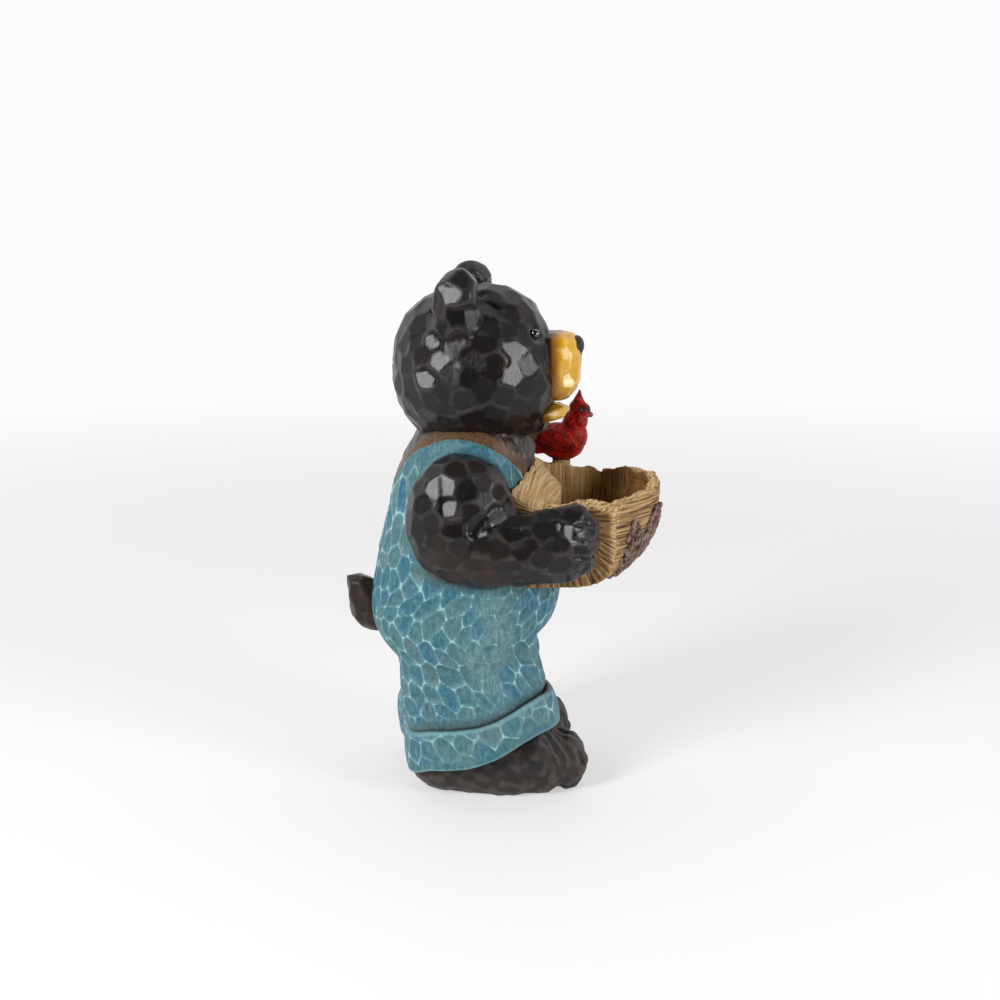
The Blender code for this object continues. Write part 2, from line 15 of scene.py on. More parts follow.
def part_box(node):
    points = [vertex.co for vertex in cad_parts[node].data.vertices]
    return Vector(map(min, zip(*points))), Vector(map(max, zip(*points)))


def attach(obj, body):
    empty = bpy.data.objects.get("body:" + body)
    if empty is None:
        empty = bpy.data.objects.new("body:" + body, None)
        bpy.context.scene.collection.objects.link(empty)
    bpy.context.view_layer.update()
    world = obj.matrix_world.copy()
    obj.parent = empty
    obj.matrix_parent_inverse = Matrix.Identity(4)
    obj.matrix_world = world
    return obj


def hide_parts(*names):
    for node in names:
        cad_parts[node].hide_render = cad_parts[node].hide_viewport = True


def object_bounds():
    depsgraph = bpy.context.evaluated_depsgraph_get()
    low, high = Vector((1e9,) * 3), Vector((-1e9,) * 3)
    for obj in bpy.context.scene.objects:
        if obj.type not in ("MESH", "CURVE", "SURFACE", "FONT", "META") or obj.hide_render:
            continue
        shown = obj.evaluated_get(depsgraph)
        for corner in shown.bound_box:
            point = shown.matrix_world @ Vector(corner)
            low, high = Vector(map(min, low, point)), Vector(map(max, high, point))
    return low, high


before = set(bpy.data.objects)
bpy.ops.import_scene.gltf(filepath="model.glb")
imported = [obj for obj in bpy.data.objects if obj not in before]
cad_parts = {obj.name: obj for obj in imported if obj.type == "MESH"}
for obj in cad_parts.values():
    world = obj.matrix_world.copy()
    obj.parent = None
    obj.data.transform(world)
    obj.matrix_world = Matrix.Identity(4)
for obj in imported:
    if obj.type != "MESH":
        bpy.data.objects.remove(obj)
cad_low, cad_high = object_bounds()

MM = 0.001
LOG_BACK_AT = -4
log_low, log_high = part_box("log_bowl")
GRID_ORIGIN = Vector(((log_low.x + log_high.x) / 2, log_high.y - LOG_BACK_AT * MM, 0))
GRID_TO_FRAME = Matrix.Translation(GRID_ORIGIN) @ Matrix.Scale(MM, 4)

HEAD_YAW = math.radians(-7)
HEAD_PIVOT = (0, 22, 400)
LEFT_FOOT_BACK = 10
CUFF_FLARE = 7.5
SIDES = (-1, 1)

LOG_HALF = 73
LOG_HEIGHT = 80
LOG_END_DEPTH = 98
LOG_FRONT_BULGE = 52.5
LOG_BACK_CURVE = 29
LOG_WALL = 11
LOG_BACK_WALL = 18
TORN_WIDTH = 26
TORN_SLOPE = 0.8
RIM_LIP = 7
LOG_FLOOR = 14
LOG_BOTTOM = 208.5
LOG_HEEL_ROUND = 16
LOG_END_ROUNDING = 0.44
LOG_MIDDLE_ROUNDING = 1.04
STUB_FORWARD = 0.615
STUB_RADIUS = 10
STUB_HEIGHT = 10.5
END_CENTRE = (-52, 274)

# Voxel sizes of the skins, in millimetres
FUR_CELL = 1.5
CLOTH_CELL = 1.68
CUFF_CELL = 1.5
FOOT_CELL = 1.5
TAIL_CELL = 1.3
MUZZLE_CELL = 1.2
LIP_CELL = 1.1
NOSE_CELL = 0.9
EYE_CELL = 0.6
WOOD_CELL = 1.22
BARK_CELL = 0.9
BIRD_CELL = 0.75
BEAK_CELL = 0.5
BIRD_EYE_CELL = 0.35

# Knife facets: how far apart, how deep and how tilted at most
HEAD_FACETS = (16, 2.8, 0.11)
MUZZLE_FACETS = (9.5, 1.2, 0.09)
LIP_FACETS = (9, 1.2, 0.09)
NECK_FACETS = (12, 2.0, 0.14)
ARM_FACETS = (15, 2.6, 0.11)
HAND_FACETS = (8, 1.2, 0.16)
FOOT_FACETS = (10, 1.2, 0.15)
TAIL_FACETS = (11, 1.0, 0.10)
FACET_SEED = 5
HAND_SEED = 6
TAIL_SEED = 8
CLOTH_SEED = 51
CUFF_SEED = 52
BARK_SEED = 51
CRACK_SEED = 41

RING_POINTS = 64
FIXED_FACING = 0.9
CELL_SPACING = 12.8
CELL_ROUNDING = 1.1
BODY_GOUGES = {"Depth": 1.7, "Reach": 8.0}
CUFF_GOUGES = {"Depth": 1.3, "Reach": 7.0}

CAMERA_PLACE = (-1311.90, 45.81, 590.62)
CAMERA_WAY = (0.97178, -0.03394, -0.23345)
CAMERA_LENS = 50.4
SENSOR_WIDTH = 36
VIEW_REACH = 50
FLOOR_FADE = (0.5, 2.6)
FLOOR_GLOW = 0.465
SURROUND = (0.975, 0.962, 0.982)
ROOM_LIGHT = 0.06
WINDOWS_AIM = (0, 0, 0.33)
WINDOWS = (
    ("window_left", (-1.24, 1.46, 1.26), (0.65, 1.2), 40),
    ("window_right", (-1.16, -1.58, 0.82), (0.6, 0.85), 23),
)


def smooth_rows(rows, count):
    """Rows read from a smooth curve through the given rows, evenly spaced by row number."""
    rows = np.asarray(rows, float)
    padded = np.vstack([2 * rows[0] - rows[1], rows, 2 * rows[-1] - rows[-2]])
    result = []
    for place in np.linspace(0, len(rows) - 1, count):
        i = min(int(place), len(rows) - 2)
        t = place - i
        a, b, c, d = padded[i:i + 4]
        result.append(
            b + 0.5 * t * (c - a + t * (2 * a - 5 * b + 4 * c - d + t * (3 * (b - c) + d - a)))
        )
    return np.array(result)


def between(values, share):
    """Reads a smooth curve through values spread evenly over shares 0 to 1."""
    rows = smooth_rows([(value,) for value in values], 8 * (len(values) - 1) + 1)[:, 0]
    return np.interp(share, np.linspace(0, 1, len(rows)), rows)


def smooth_step(value):
    value = np.clip(value, 0, 1)
    return value * value * (3 - 2 * value)


def bump(distance, width):
    return np.exp(-(distance / width) ** 2)


def ripples(points, size, seed):
    """A smooth random field over points, mostly within -1 to 1, with swells about size across."""
    draw = np.random.default_rng(seed)
    count = 9
    ways = draw.normal(size=(count, 3))
    ways /= np.linalg.norm(ways, axis=1)[:, None]
    ways *= 2 * math.pi / (np.asarray(size, float) * draw.uniform(0.7, 1.5, (count, 1)))
    phase = draw.uniform(0, 2 * math.pi, count)
    return np.sin(points @ ways.T + phase).sum(axis=1) / math.sqrt(count)


def streaks(points, way, long, wide, octaves=3):
    """Fractal noise from about -1 to 1 drawn out along way: streaks long by wide."""
    way = np.asarray(way, float) / np.linalg.norm(way)
    drawn = points / wide + np.outer(points @ way * (1 / long - 1 / wide), way)
    return np.array([noise.fractal(place, 0.9, 2.1, octaves) for place in drawn.tolist()])


def on_head(place):
    """Where a point of the unturned head lies once the head is turned."""
    pivot = Vector(HEAD_PIVOT)
    return pivot + Matrix.Rotation(HEAD_YAW, 3, "Z") @ (Vector(place) - pivot)


def off_head(points):
    """Points given as if the head weren't turned."""
    turn = np.array(Matrix.Rotation(-HEAD_YAW, 3, "Z"))
    return (points - HEAD_PIVOT) @ turn.T + HEAD_PIVOT


def super_ring(centre, half_x, half_y, power):
    """A level ring between an ellipse (power 2) and a rounded rectangle (higher powers)."""
    angle = np.linspace(0, 2 * math.pi, RING_POINTS, endpoint=False)
    x = np.sign(np.cos(angle)) * np.abs(np.cos(angle)) ** (2 / power) * half_x
    y = np.sign(np.sin(angle)) * np.abs(np.sin(angle)) ** (2 / power) * half_y
    return np.column_stack([x, y, np.zeros(RING_POINTS)]) + np.asarray(centre, float)


class Clay:
    """Overlapping closed lumps, each of one region, that are fused into one skin."""

    def __init__(self):
        self.lumps = []

    def ball(self, region, centre, radii, turn=(0, 0, 0)):
        lump = bmesh.new()
        matrix = Matrix.LocRotScale(Vector(centre), Euler(turn), Vector(radii))
        bmesh.ops.create_icosphere(lump, subdivisions=5, radius=1, matrix=matrix)
        self.lumps.append((region, lump))

    def loft(self, region, rings):
        """A closed lump through rings of equal point counts, closed by a face at each end."""
        lump = bmesh.new()
        levels = [[lump.verts.new(point) for point in ring] for ring in rings]
        for lower, upper in zip(levels, levels[1:]):
            for i in range(len(lower)):
                k = (i + 1) % len(lower)
                lump.faces.new((lower[i], lower[k], upper[k], upper[i]))
        lump.faces.new(levels[0][::-1])
        lump.faces.new(levels[-1])
        bmesh.ops.recalc_face_normals(lump, faces=lump.faces)
        self.lumps.append((region, lump))

    def tower(self, region, rows, count, power):
        """A lump through level rings, from rows of height, back, front and half width."""
        self.loft(region, [
            super_ring((0, (back + front) / 2, z), half, (back - front) / 2, power)
            for z, back, front, half in smooth_rows(rows, count)
        ])

    def limb(self, region, path, steps=40, count=40):
        """A tube along path rows of x, y, z, half width across, half height, with domed ends."""
        rows = smooth_rows(path, steps)
        heading = np.gradient(rows[:, :3], axis=0)
        heading /= np.linalg.norm(heading, axis=1)[:, None]
        across = np.cross(heading, (0, 0, 1))
        across /= np.linalg.norm(across, axis=1)[:, None]
        lift = np.cross(across, heading)
        angle = np.linspace(0, 2 * math.pi, count, endpoint=False)
        dome = np.linspace(0.06, math.pi / 2, 8, endpoint=False)
        stations = []
        for turn in dome:
            stations.append((0, -math.cos(turn), math.sin(turn)))
        for i in range(steps):
            stations.append((i, 0, 1))
        for turn in dome[::-1]:
            stations.append((steps - 1, math.cos(turn), math.sin(turn)))
        rings = []
        for i, beyond, size in stations:
            middle = rows[i, :3] + heading[i] * beyond * (rows[i, 3] + rows[i, 4]) / 2
            rings.append(
                middle
                + np.outer(np.cos(angle), across[i]) * rows[i, 3] * size
                + np.outer(np.sin(angle), lift[i]) * rows[i, 4] * size
            )
        self.loft(region, rings)

    def turn_with_head(self):
        matrix = Matrix.Rotation(HEAD_YAW, 3, "Z")
        for _, lump in self.lumps:
            bmesh.ops.rotate(lump, verts=lump.verts, cent=HEAD_PIVOT, matrix=matrix)


def mesh_object(name, lump):
    mesh = bpy.data.meshes.new(name)
    lump.to_mesh(mesh)
    lump.free()
    item = bpy.data.objects.new(name, mesh)
    bpy.context.collection.objects.link(item)
    return item


def settle(item):
    """Replaces an object's mesh by the one that its modifiers make."""
    bpy.context.view_layer.update()
    shape = bpy.data.meshes.new_from_object(
        item.evaluated_get(bpy.context.evaluated_depsgraph_get())
    )
    old = item.data
    item.modifiers.clear()
    item.data = shape
    shape.name = item.name
    bpy.data.meshes.remove(old)


class Skin:
    """A piece's skin while it is carved, in millimetres."""

    def __init__(self, name, clay, cell, rounds=3):
        whole = bmesh.new()
        self.tree = kdtree.KDTree(sum(len(lump.verts) for _, lump in clay.lumps))
        self.names = []
        for region, lump in clay.lumps:
            for vert in lump.verts:
                self.tree.insert(vert.co, len(self.names))
                self.names.append(region)
            part = bpy.data.meshes.new("lump")
            lump.to_mesh(part)
            lump.free()
            whole.from_mesh(part)
            bpy.data.meshes.remove(part)
        self.tree.balance()
        self.item = mesh_object(name, whole)
        self.remesh(cell, rounds)

    def remesh(self, cell, rounds):
        skin = self.item.modifiers.new("Skin", "REMESH")
        skin.mode = "VOXEL"
        skin.voxel_size = cell
        blur = self.item.modifiers.new("Soften", "SMOOTH")
        blur.factor = 0.5
        blur.iterations = rounds
        settle(self.item)
        self.read()

    def read(self):
        mesh = self.item.data
        points = np.empty(len(mesh.vertices) * 3)
        normals = np.empty(len(mesh.vertices) * 3)
        mesh.vertices.foreach_get("co", points)
        mesh.vertex_normals.foreach_get("vector", normals)
        self.points = points.reshape(-1, 3)
        self.normals = normals.reshape(-1, 3)

    def move(self, points):
        self.item.data.vertices.foreach_set("co", np.asarray(points, np.float32).ravel())
        self.item.data.update()
        self.read()

    def push(self, heights):
        """Moves each point outwards by its height."""
        self.move(self.points + self.normals * heights[:, None])

    def regions(self):
        return np.array([self.names[self.tree.find(point)[1]] for point in self.points])

    def edges(self):
        ends = np.empty(len(self.item.data.edges) * 2, np.int32)
        self.item.data.edges.foreach_get("vertices", ends)
        return ends.reshape(-1, 2)

    def blurred(self, values, rounds, where=None):
        """Values averaged over neighbouring points, round after round."""
        first, second = self.edges().T
        values = np.asarray(values, float).reshape(len(self.points), -1)
        total = len(values)
        share = 1 / (1 + np.bincount(first, minlength=total) + np.bincount(second, minlength=total))
        for _ in range(rounds):
            mean = np.column_stack([
                share * (
                    column
                    + np.bincount(first, column[second], total)
                    + np.bincount(second, column[first], total)
                )
                for column in values.T
            ])
            values = mean if where is None else np.where(where[:, None], mean, values)
        return values.squeeze()

    def without_tears(self, values, jump=0.65):
        """Values made smooth where they jump between neighbouring points."""
        ends = self.edges()
        torn = np.zeros(len(values), bool)
        torn[ends[np.abs(values[ends[:, 0]] - values[ends[:, 1]]) > jump].ravel()] = True
        torn[ends[torn[ends].any(axis=1)].ravel()] = True
        return self.blurred(values, 5, torn)

    def mark(self, **layers):
        """Stores numbers at each point under their names, for the paint to read."""
        for name, values in layers.items():
            layer = self.item.data.attributes.new(name, "FLOAT", "POINT")
            layer.data.foreach_set("value", np.asarray(values, np.float32))

    def mark_place(self, name, places):
        """Stores a place at each point, for the paint to read."""
        layer = self.item.data.attributes.new(name, "FLOAT_VECTOR", "POINT")
        layer.data.foreach_set("vector", np.asarray(places, np.float32).ravel())

    def mark_wear(self, rounds=8):
        """Stores how far each point stands out from the surface around it; grooves are negative."""
        out = self.points - self.blurred(self.points, rounds)
        self.mark(wear=np.einsum("ij,ij->i", out, self.normals))

    def surface(self):
        """A tree that finds the nearest place on this skin."""
        mesh = self.item.data
        faces = [tuple(face.vertices) for face in mesh.polygons]
        return bvhtree.BVHTree.FromPolygons([vert.co for vert in mesh.vertices], faces)

    def gap_to(self, others, reach):
        """Distance from each point to the nearest of other skins, at most reach."""
        gaps = np.full(len(self.points), float(reach))
        for other in others:
            tree = other.surface()
            for i, point in enumerate(self.points):
                hit = tree.find_nearest(point, reach)
                if hit[3] is not None:
                    gaps[i] = min(gaps[i], hit[3])
        return gaps


def scattered(points, spacing, seed, fixed=()):
    """Points picked in a random order, none closer than spacing to another, after fixed ones."""
    order = list(range(len(points)))
    random.Random(seed).shuffle(order)
    cells = {}
    chosen = []

    def home_of(point):
        return tuple(int(v) for v in np.floor(point / spacing))

    def place(point):
        home = home_of(point)
        cells.setdefault(home, []).append(point)
        chosen.append(point)

    for point in fixed:
        place(np.asarray(point, float))
    for index in order:
        point = points[index]
        home = home_of(point)
        near = (
            other
            for dx in (-1, 0, 1) for dy in (-1, 0, 1) for dz in (-1, 0, 1)
            for other in cells.get((home[0] + dx, home[1] + dy, home[2] + dz), ())
        )
        if all(np.sum((point - other) ** 2) > spacing ** 2 for other in near):
            place(point)
    return np.array(chosen)


def nearest(points, centres, count):
    """Indices of the nearest centres to each point, nearest first."""
    tree = kdtree.KDTree(len(centres))
    for i, centre in enumerate(centres):
        tree.insert(centre, i)
    tree.balance()
    count = min(count, len(centres))
    return np.array([[hit[1] for hit in tree.find_n(point, count)] for point in points])


def knife_cuts(skin, spacing, depth, tilt, seed, fixed=()):
    """Flat facets as a broad knife leaves them, after fixed ones of a place and a facing.

    Gives each point's height and its facet's shade: random, but 0 for the fixed facets, which the muzzle
    paint turns into a painted highlight.
    """
    points, normals = skin.points, skin.normals
    centres = scattered(points, spacing, seed, [place for place, _ in fixed])
    near = nearest(points, centres, 2)
    cell = near[:, 0]
    size = np.maximum(np.bincount(cell, minlength=len(centres)), 1)
    middle, facing = (
        np.column_stack([np.bincount(cell, line, len(centres)) for line in lines.T])
        for lines in (points, normals)
    )
    middle /= size[:, None]
    facing /= np.linalg.norm(facing, axis=1)[:, None] + 1e-9
    draw = np.random.default_rng(seed + 1)
    facing += draw.uniform(-tilt, tilt, facing.shape)
    for i, (_, way) in enumerate(fixed):
        facing[i] = facing[i] * (1 - FIXED_FACING) + np.array(way) * FIXED_FACING
    facing /= np.linalg.norm(facing, axis=1)[:, None] + 1e-9
    shades = draw.uniform(0.15, 1, len(centres))
    shades[:len(fixed)] = 0
    own = facing[cell]
    slope = np.maximum(np.einsum("ij,ij->i", normals, own), 0.5)
    heights = np.einsum("ij,ij->i", middle[cell] - points, own) / slope
    heights = skin.without_tears(np.clip(heights, -depth, depth))
    return skin.blurred(heights, 1), shades[cell]


def oval_cells(places, seed):
    """How far places lie from the rounded borders of scattered cells, and the shade of their cell."""
    centres = scattered(places, CELL_SPACING, seed)
    near = nearest(places, centres, 5)
    away = np.linalg.norm(places[:, None] - centres[near], axis=2)
    others = np.exp((away[:, :1] - away[:, 1:]) / CELL_ROUNDING).sum(axis=1)
    shades = np.random.default_rng(seed).uniform(0, 1, len(centres))
    return -CELL_ROUNDING * np.log(others), shades[near[:, 0]]


class Wire:
    """A value in a node tree, wrapped so that sums and products of it add Math nodes."""

    def __init__(self, graph, socket):
        self.graph = graph
        self.socket = socket

    def math(self, operation, *values):
        return self.graph.node("ShaderNodeMath", {"operation": operation}, dict(enumerate(values)))

    def __add__(self, other):
        return self.math("ADD", self, other)

    def __sub__(self, other):
        return self.math("SUBTRACT", self, other)

    def __rsub__(self, other):
        return self.math("SUBTRACT", other, self)

    def __mul__(self, other):
        return self.math("MULTIPLY", self, other)

    def __abs__(self):
        return self.math("ABSOLUTE", self)

    __radd__ = __add__
    __rmul__ = __mul__


class Graph:
    """A node tree, of a material or of Geometry Nodes."""

    def __init__(self, tree):
        self.tree = tree

    def node(self, kind, settings, sockets, output=0):
        """Adds a node, sets it up, feeds its sockets and gives one of its outputs."""
        made = self.tree.nodes.new(kind)
        for name, value in settings.items():
            setattr(made, name, value)
        for name, value in sockets.items():
            if isinstance(value, Wire):
                self.tree.links.new(value.socket, made.inputs[name])
            else:
                made.inputs[name].default_value = value
        return Wire(self, made.outputs[output]) if made.outputs else made

    def vector(self, operation, *values, output=0, **sockets):
        sockets.update(enumerate(values))
        return self.node("ShaderNodeVectorMath", {"operation": operation}, sockets, output)

    def step(self, value, low, high):
        """0 where value is under low, 1 over high, and smooth in between."""
        return self.node(
            "ShaderNodeMapRange",
            {"interpolation_type": "SMOOTHSTEP"},
            {"Value": value, "From Min": low, "From Max": high},
        )


class Paint(Graph):
    """A painted finish on one Principled shader. Lengths in it are millimetres."""

    def __init__(self, name, **fixed):
        self.material = bpy.data.materials.new(name)
        self.material.use_nodes = True
        super().__init__(self.material.node_tree)
        self.shader = self.tree.nodes["Principled BSDF"]
        for socket, value in fixed.items():
            self.shader.inputs[socket.replace("_", " ")].default_value = value
        spot = self.node("ShaderNodeTexCoord", {}, {}, "Object")
        self.spot = self.vector("SCALE", spot, Scale=1 / MM)

    def feed(self, socket, value):
        self.tree.links.new(value.socket, self.shader.inputs[socket])

    def done(self, colour, roughness, height, distance):
        """Feeds the shader, with a bump from a height of 0 to 1, and gives the material."""
        self.feed("Base Color", colour)
        self.feed("Roughness", roughness)
        self.feed("Normal", self.node("ShaderNodeBump", {}, {"Height": height, "Distance": distance * MM}))
        return self.material

    def stored(self, name, output="Fac"):
        return self.node("ShaderNodeAttribute", {"attribute_name": name}, {}, output)

    def stretched(self, x, y, z):
        return self.vector("MULTIPLY", self.spot, (x, y, z))

    def cloud(self, size, detail=3, roughness=0.55, spot=None):
        """Noise from 0 to 1 with patches about size across."""
        return self.node("ShaderNodeTexNoise", {}, {
            "Vector": spot or self.spot,
            "Scale": 1 / size,
            "Detail": detail,
            "Roughness": roughness,
        })

    def mix(self, share, first, second):
        first, second = (shade if isinstance(shade, Wire) else (*shade, 1) for shade in (first, second))
        return self.node("ShaderNodeMix", {"data_type": "RGBA"}, {0: share, 6: first, 7: second}, 2)

    def layers(self, colour, *others):
        """A colour with others laid over it, each a pair of its share and its colour."""
        for share, other in others:
            colour = self.mix(share, colour, other)
        return colour

    def ramp(self, value, stops):
        """A colour read from stops of place and colour."""
        made = self.node("ShaderNodeValToRGB", {}, {"Fac": value})
        ramp = made.socket.node.color_ramp
        while len(ramp.elements) < len(stops):
            ramp.elements.new(0.5)
        for element, (place, shade) in zip(ramp.elements, stops):
            element.position = place
            element.color = (*shade, 1)
        return made


def gouging_tree():
    """Geometry Nodes that press cells into a skin, from its ridge and gouge attributes."""
    tree = bpy.data.node_groups.new("gouged_cells", "GeometryNodeTree")
    tree.is_modifier = True
    for name, kind in (("Geometry", "NodeSocketGeometry"), ("Depth", "NodeSocketFloat"),
                       ("Reach", "NodeSocketFloat"), ("Finish", "NodeSocketMaterial")):
        tree.interface.new_socket(name, in_out="INPUT", socket_type=kind)
    tree.interface.new_socket("Geometry", in_out="OUTPUT", socket_type="NodeSocketGeometry")
    graph = Graph(tree)
    skin = graph.node("NodeGroupInput", {}, {}, "Geometry")
    given = skin.socket.node.outputs
    depth, reach, finish = (Wire(graph, given[name]) for name in ("Depth", "Reach", "Finish"))
    ridge, share = (
        graph.node("GeometryNodeInputNamedAttribute", {"data_type": "FLOAT"}, {"Name": name}, "Attribute")
        for name in ("ridge", "gouge")
    )
    height = graph.step(ridge, 0, reach) * share * depth * -1
    normal = graph.node("GeometryNodeInputNormal", {}, {})
    moved = graph.node("GeometryNodeSetPosition", {}, {
        "Geometry": skin, "Offset": graph.vector("SCALE", normal, Scale=height),
    })
    whole = graph.node("GeometryNodeRealizeInstances", {}, {"Geometry": moved})
    done = graph.node("GeometryNodeSetMaterial", {}, {"Geometry": whole, "Material": finish})
    graph.node("NodeGroupOutput", {}, {"Geometry": done})
    return tree


def use_tree(item, tree, values):
    """Runs a Geometry Nodes tree on an object, with its named inputs set, and keeps the result."""
    made = item.modifiers.new(tree.name, "NODES")
    made.node_group = tree
    for socket in tree.interface.items_tree:
        if socket.name in values:
            made[socket.identifier] = values[socket.name]
    settle(item)


def bump_line(paint, distance, middle, width):
    """1 on the line where distance is middle, fading to 0 at width from it."""
    return 1 - paint.step(abs(distance - middle), width * 0.3, width)


def fur_colour(paint):
    """Charcoal black with brown washes, and greyer where it is rubbed. Gives its strokes too."""
    patches = paint.cloud(24, 4)
    strokes = paint.cloud(6, 5, 0.72, paint.stretched(1, 1, 0.3))
    rubbed = paint.step(paint.stored("wear") + (strokes - 0.5) * 0.25, 0.06, 0.30)
    rubbed = rubbed * paint.step(patches, 0.3, 0.6)
    return paint.layers(
        paint.mix(paint.stored("shade"), (0.0055, 0.0052, 0.0052), (0.0125, 0.0115, 0.0115)),
        (paint.step(patches, 0.42, 0.75) * 0.8, (0.015, 0.0095, 0.0072)),
        (paint.step(strokes, 0.52, 0.85) * 0.4, (0.034, 0.031, 0.030)),
        (rubbed * 0.35, (0.085, 0.078, 0.075)),
    ), strokes


def fur_paint():
    paint = Paint("black_fur", IOR=1.33, Coat_Roughness=0.16, Coat_IOR=1.6)
    shade, soil = paint.stored("shade"), paint.stored("soil")
    colour, strokes = fur_colour(paint)
    # Mixed in by the stored mask: painted shade under the arms, browner low on the head, random brown
    # patches on the tail
    brown = paint.mix(strokes, (0.016, 0.009, 0.007), (0.056, 0.032, 0.022))
    scratches = paint.cloud(1.3, 4, 0.75, paint.stretched(1, 1, 0.45))
    roughness = 0.12 + shade * 0.13 + scratches * 0.12 + soil * 0.2
    paint.feed("Coat Weight", (1 - paint.step(shade, 0.02, 0.12)) * strokes * 0.22)
    return paint.done(paint.mix(soil, colour, brown), roughness, scratches * 0.6 + strokes, 0.3)


def cloth_colour(paint):
    """Teal blue gouged cells with thin pale aqua lines between them, washed and weathered, and a painted
    highlight beside the lines.

    Gives the colour, the brush strokes and the height of the bump.
    """
    gouge, worn, ridge, cell = (paint.stored(name) for name in ("gouge", "worn", "ridge", "cell"))
    blotches = paint.cloud(26, 4, 0.6)
    brush = paint.cloud(3.0, 5, 0.8, paint.stretched(1, 1, 0.3))
    dabs = paint.cloud(6.0, 4, 0.7)
    hue = paint.ramp((cell - 0.5) * (gouge * 0.8) + (blotches - 0.5) * 1.3 + 0.48, (
        (0.0, (0.020, 0.120, 0.195)),
        (0.3, (0.030, 0.138, 0.195)),
        (0.55, (0.050, 0.152, 0.180)),
        (0.75, (0.062, 0.156, 0.176)),
        (1.0, (0.092, 0.172, 0.190)),
    ))
    pale = paint.mix(paint.step(brush, 0.35, 0.65), (0.060, 0.155, 0.165), (0.185, 0.300, 0.285))
    # glow: painted highlight beside the raised lines, leaving the middles of the cells darker as painted
    # shade
    glow = (1 - paint.step(ridge, 0, 5)) * gouge * (0.05 + dabs * 0.5)
    strength = paint.step(paint.cloud(12, 2), 0.26, 0.50) * (0.35 + brush * 0.8)
    line = (1 - paint.step(ridge + (brush - 0.5) * 1.5, 0.1, 1.15)) * gouge * strength
    crack = paint.cloud(1.0, 1, 0.5, paint.stretched(1, 1, 0.07))
    crack = paint.step(crack, 0.74, 0.79) * paint.step(blotches, 0.48, 0.60)
    colour = paint.layers(
        hue,
        (paint.step(dabs, 0.50, 0.66) * 0.6, (0.070, 0.225, 0.265)),
        (paint.step(brush, 0.50, 0.74) * 0.7, (0.180, 0.335, 0.355)),
        ((1 - paint.step(brush, 0.32, 0.48)) * 0.65, (0.018, 0.062, 0.082)),
        ((1 - paint.step(dabs, 0.34, 0.46)) * 0.55, (0.030, 0.085, 0.092)),
        (worn * 0.75, pale),
        (glow, (0.150, 0.340, 0.370)),
        (line, (0.380, 0.640, 0.640)),
        (crack * 0.8, (0.020, 0.026, 0.028)),
    )
    inside = paint.step(ridge, 0, 2) * gouge
    return colour, brush, brush * 0.7 + paint.cloud(1.1, 3, 0.7) * 0.3 - inside * 0.8


def cloth_paint():
    """For the body: overalls with a brown band at the neck edge, and fur past the band."""
    paint = Paint("blue_cloth", IOR=1.42)
    hem, band = paint.stored("hem"), paint.stored("band")
    cloth, brush, height = cloth_colour(paint)
    wobble = paint.cloud(7, 2) - 0.5
    leather = paint.mix(paint.step(brush, 0.3, 0.8), (0.062, 0.028, 0.012), (0.185, 0.100, 0.046))
    fur, strokes = fur_colour(paint)
    fur = paint.mix(paint.step(strokes, 0.35, 0.8) * 0.8, fur, (0.150, 0.105, 0.080))
    past_band = 1 - paint.step(hem + band + wobble, -0.6, 0.6)
    colour = paint.layers(
        cloth,
        (bump_line(paint, hem, 2.6, 1.3) * brush, (0.300, 0.540, 0.560)),
        (1 - paint.step(hem + wobble, -0.4, 0.4), leather),
        (past_band, fur),
        (bump_line(paint, hem + wobble * 0.4, -0.3, 0.8) * 0.6, (0.020, 0.014, 0.010)),
        # Painted shade: dark olive brown in the crease round the arms, under them and above the cuffs
        (paint.stored("soil"), paint.mix(brush, (0.034, 0.040, 0.038), (0.085, 0.080, 0.066))),
    )
    return paint.done(colour, 0.36 + paint.cloud(6, 3) * 0.2 - past_band * 0.1, height, 0.45)


def cuff_paint():
    paint = Paint("blue_cuff", IOR=1.42)
    cloth, brush, height = cloth_colour(paint)
    rim = paint.step(paint.stored("wear") + (brush - 0.5) * 0.3, 0.15, 0.5)
    colour = paint.layers(
        cloth,
        (rim * 0.35, (0.270, 0.500, 0.520)),
        # Painted shade: dark brown along the bottom edge and inside the rolled top
        (paint.stored("soil"), paint.mix(brush, (0.034, 0.034, 0.030), (0.095, 0.080, 0.058))),
    )
    return paint.done(colour, 0.36 + paint.cloud(6, 3) * 0.2, height, 0.45)


def muzzle_paint():
    """Golden ochre, browner below, running through orange brown into black where it meets the fur, with
    one facet painted pale as a painted highlight.
    """
    paint = Paint("ochre_muzzle", IOR=1.38, Coat_Weight=0.2, Coat_Roughness=0.15)
    shade, wear = paint.stored("shade"), paint.stored("wear")
    streak = paint.cloud(3.5, 4, 0.65, paint.stretched(1, 1, 0.3))
    reach = paint.stored("base") + (paint.cloud(7, 3) - 0.5) * 4
    colour = paint.layers(
        paint.mix(shade * 0.6 + streak * 0.4, (0.480, 0.210, 0.007), (0.780, 0.460, 0.038)),
        (paint.stored("under") * 0.8, (0.235, 0.085, 0.004)),
        # Browner in the grooves
        ((1 - paint.step(wear, -0.30, -0.08)) * 0.5, (0.20, 0.075, 0.006)),
        (paint.step(wear, 0.05, 0.3) * 0.35, (0.850, 0.560, 0.120)),
        # Painted highlight: the fixed glint facet, of shade 0, painted pale cream
        (1 - paint.step(shade, 0.02, 0.12), (0.930, 0.700, 0.330)),
        ((1 - paint.step(reach, 1, 12)) * 0.95, (0.220, 0.070, 0.004)),
        (1 - paint.step(reach, -2.5, 2.5), (0.010, 0.007, 0.005)),
    )
    height = streak + paint.cloud(1.2, 2) * 0.3
    return paint.done(colour, 0.26 + paint.cloud(8, 3) * 0.14, height, 0.2)


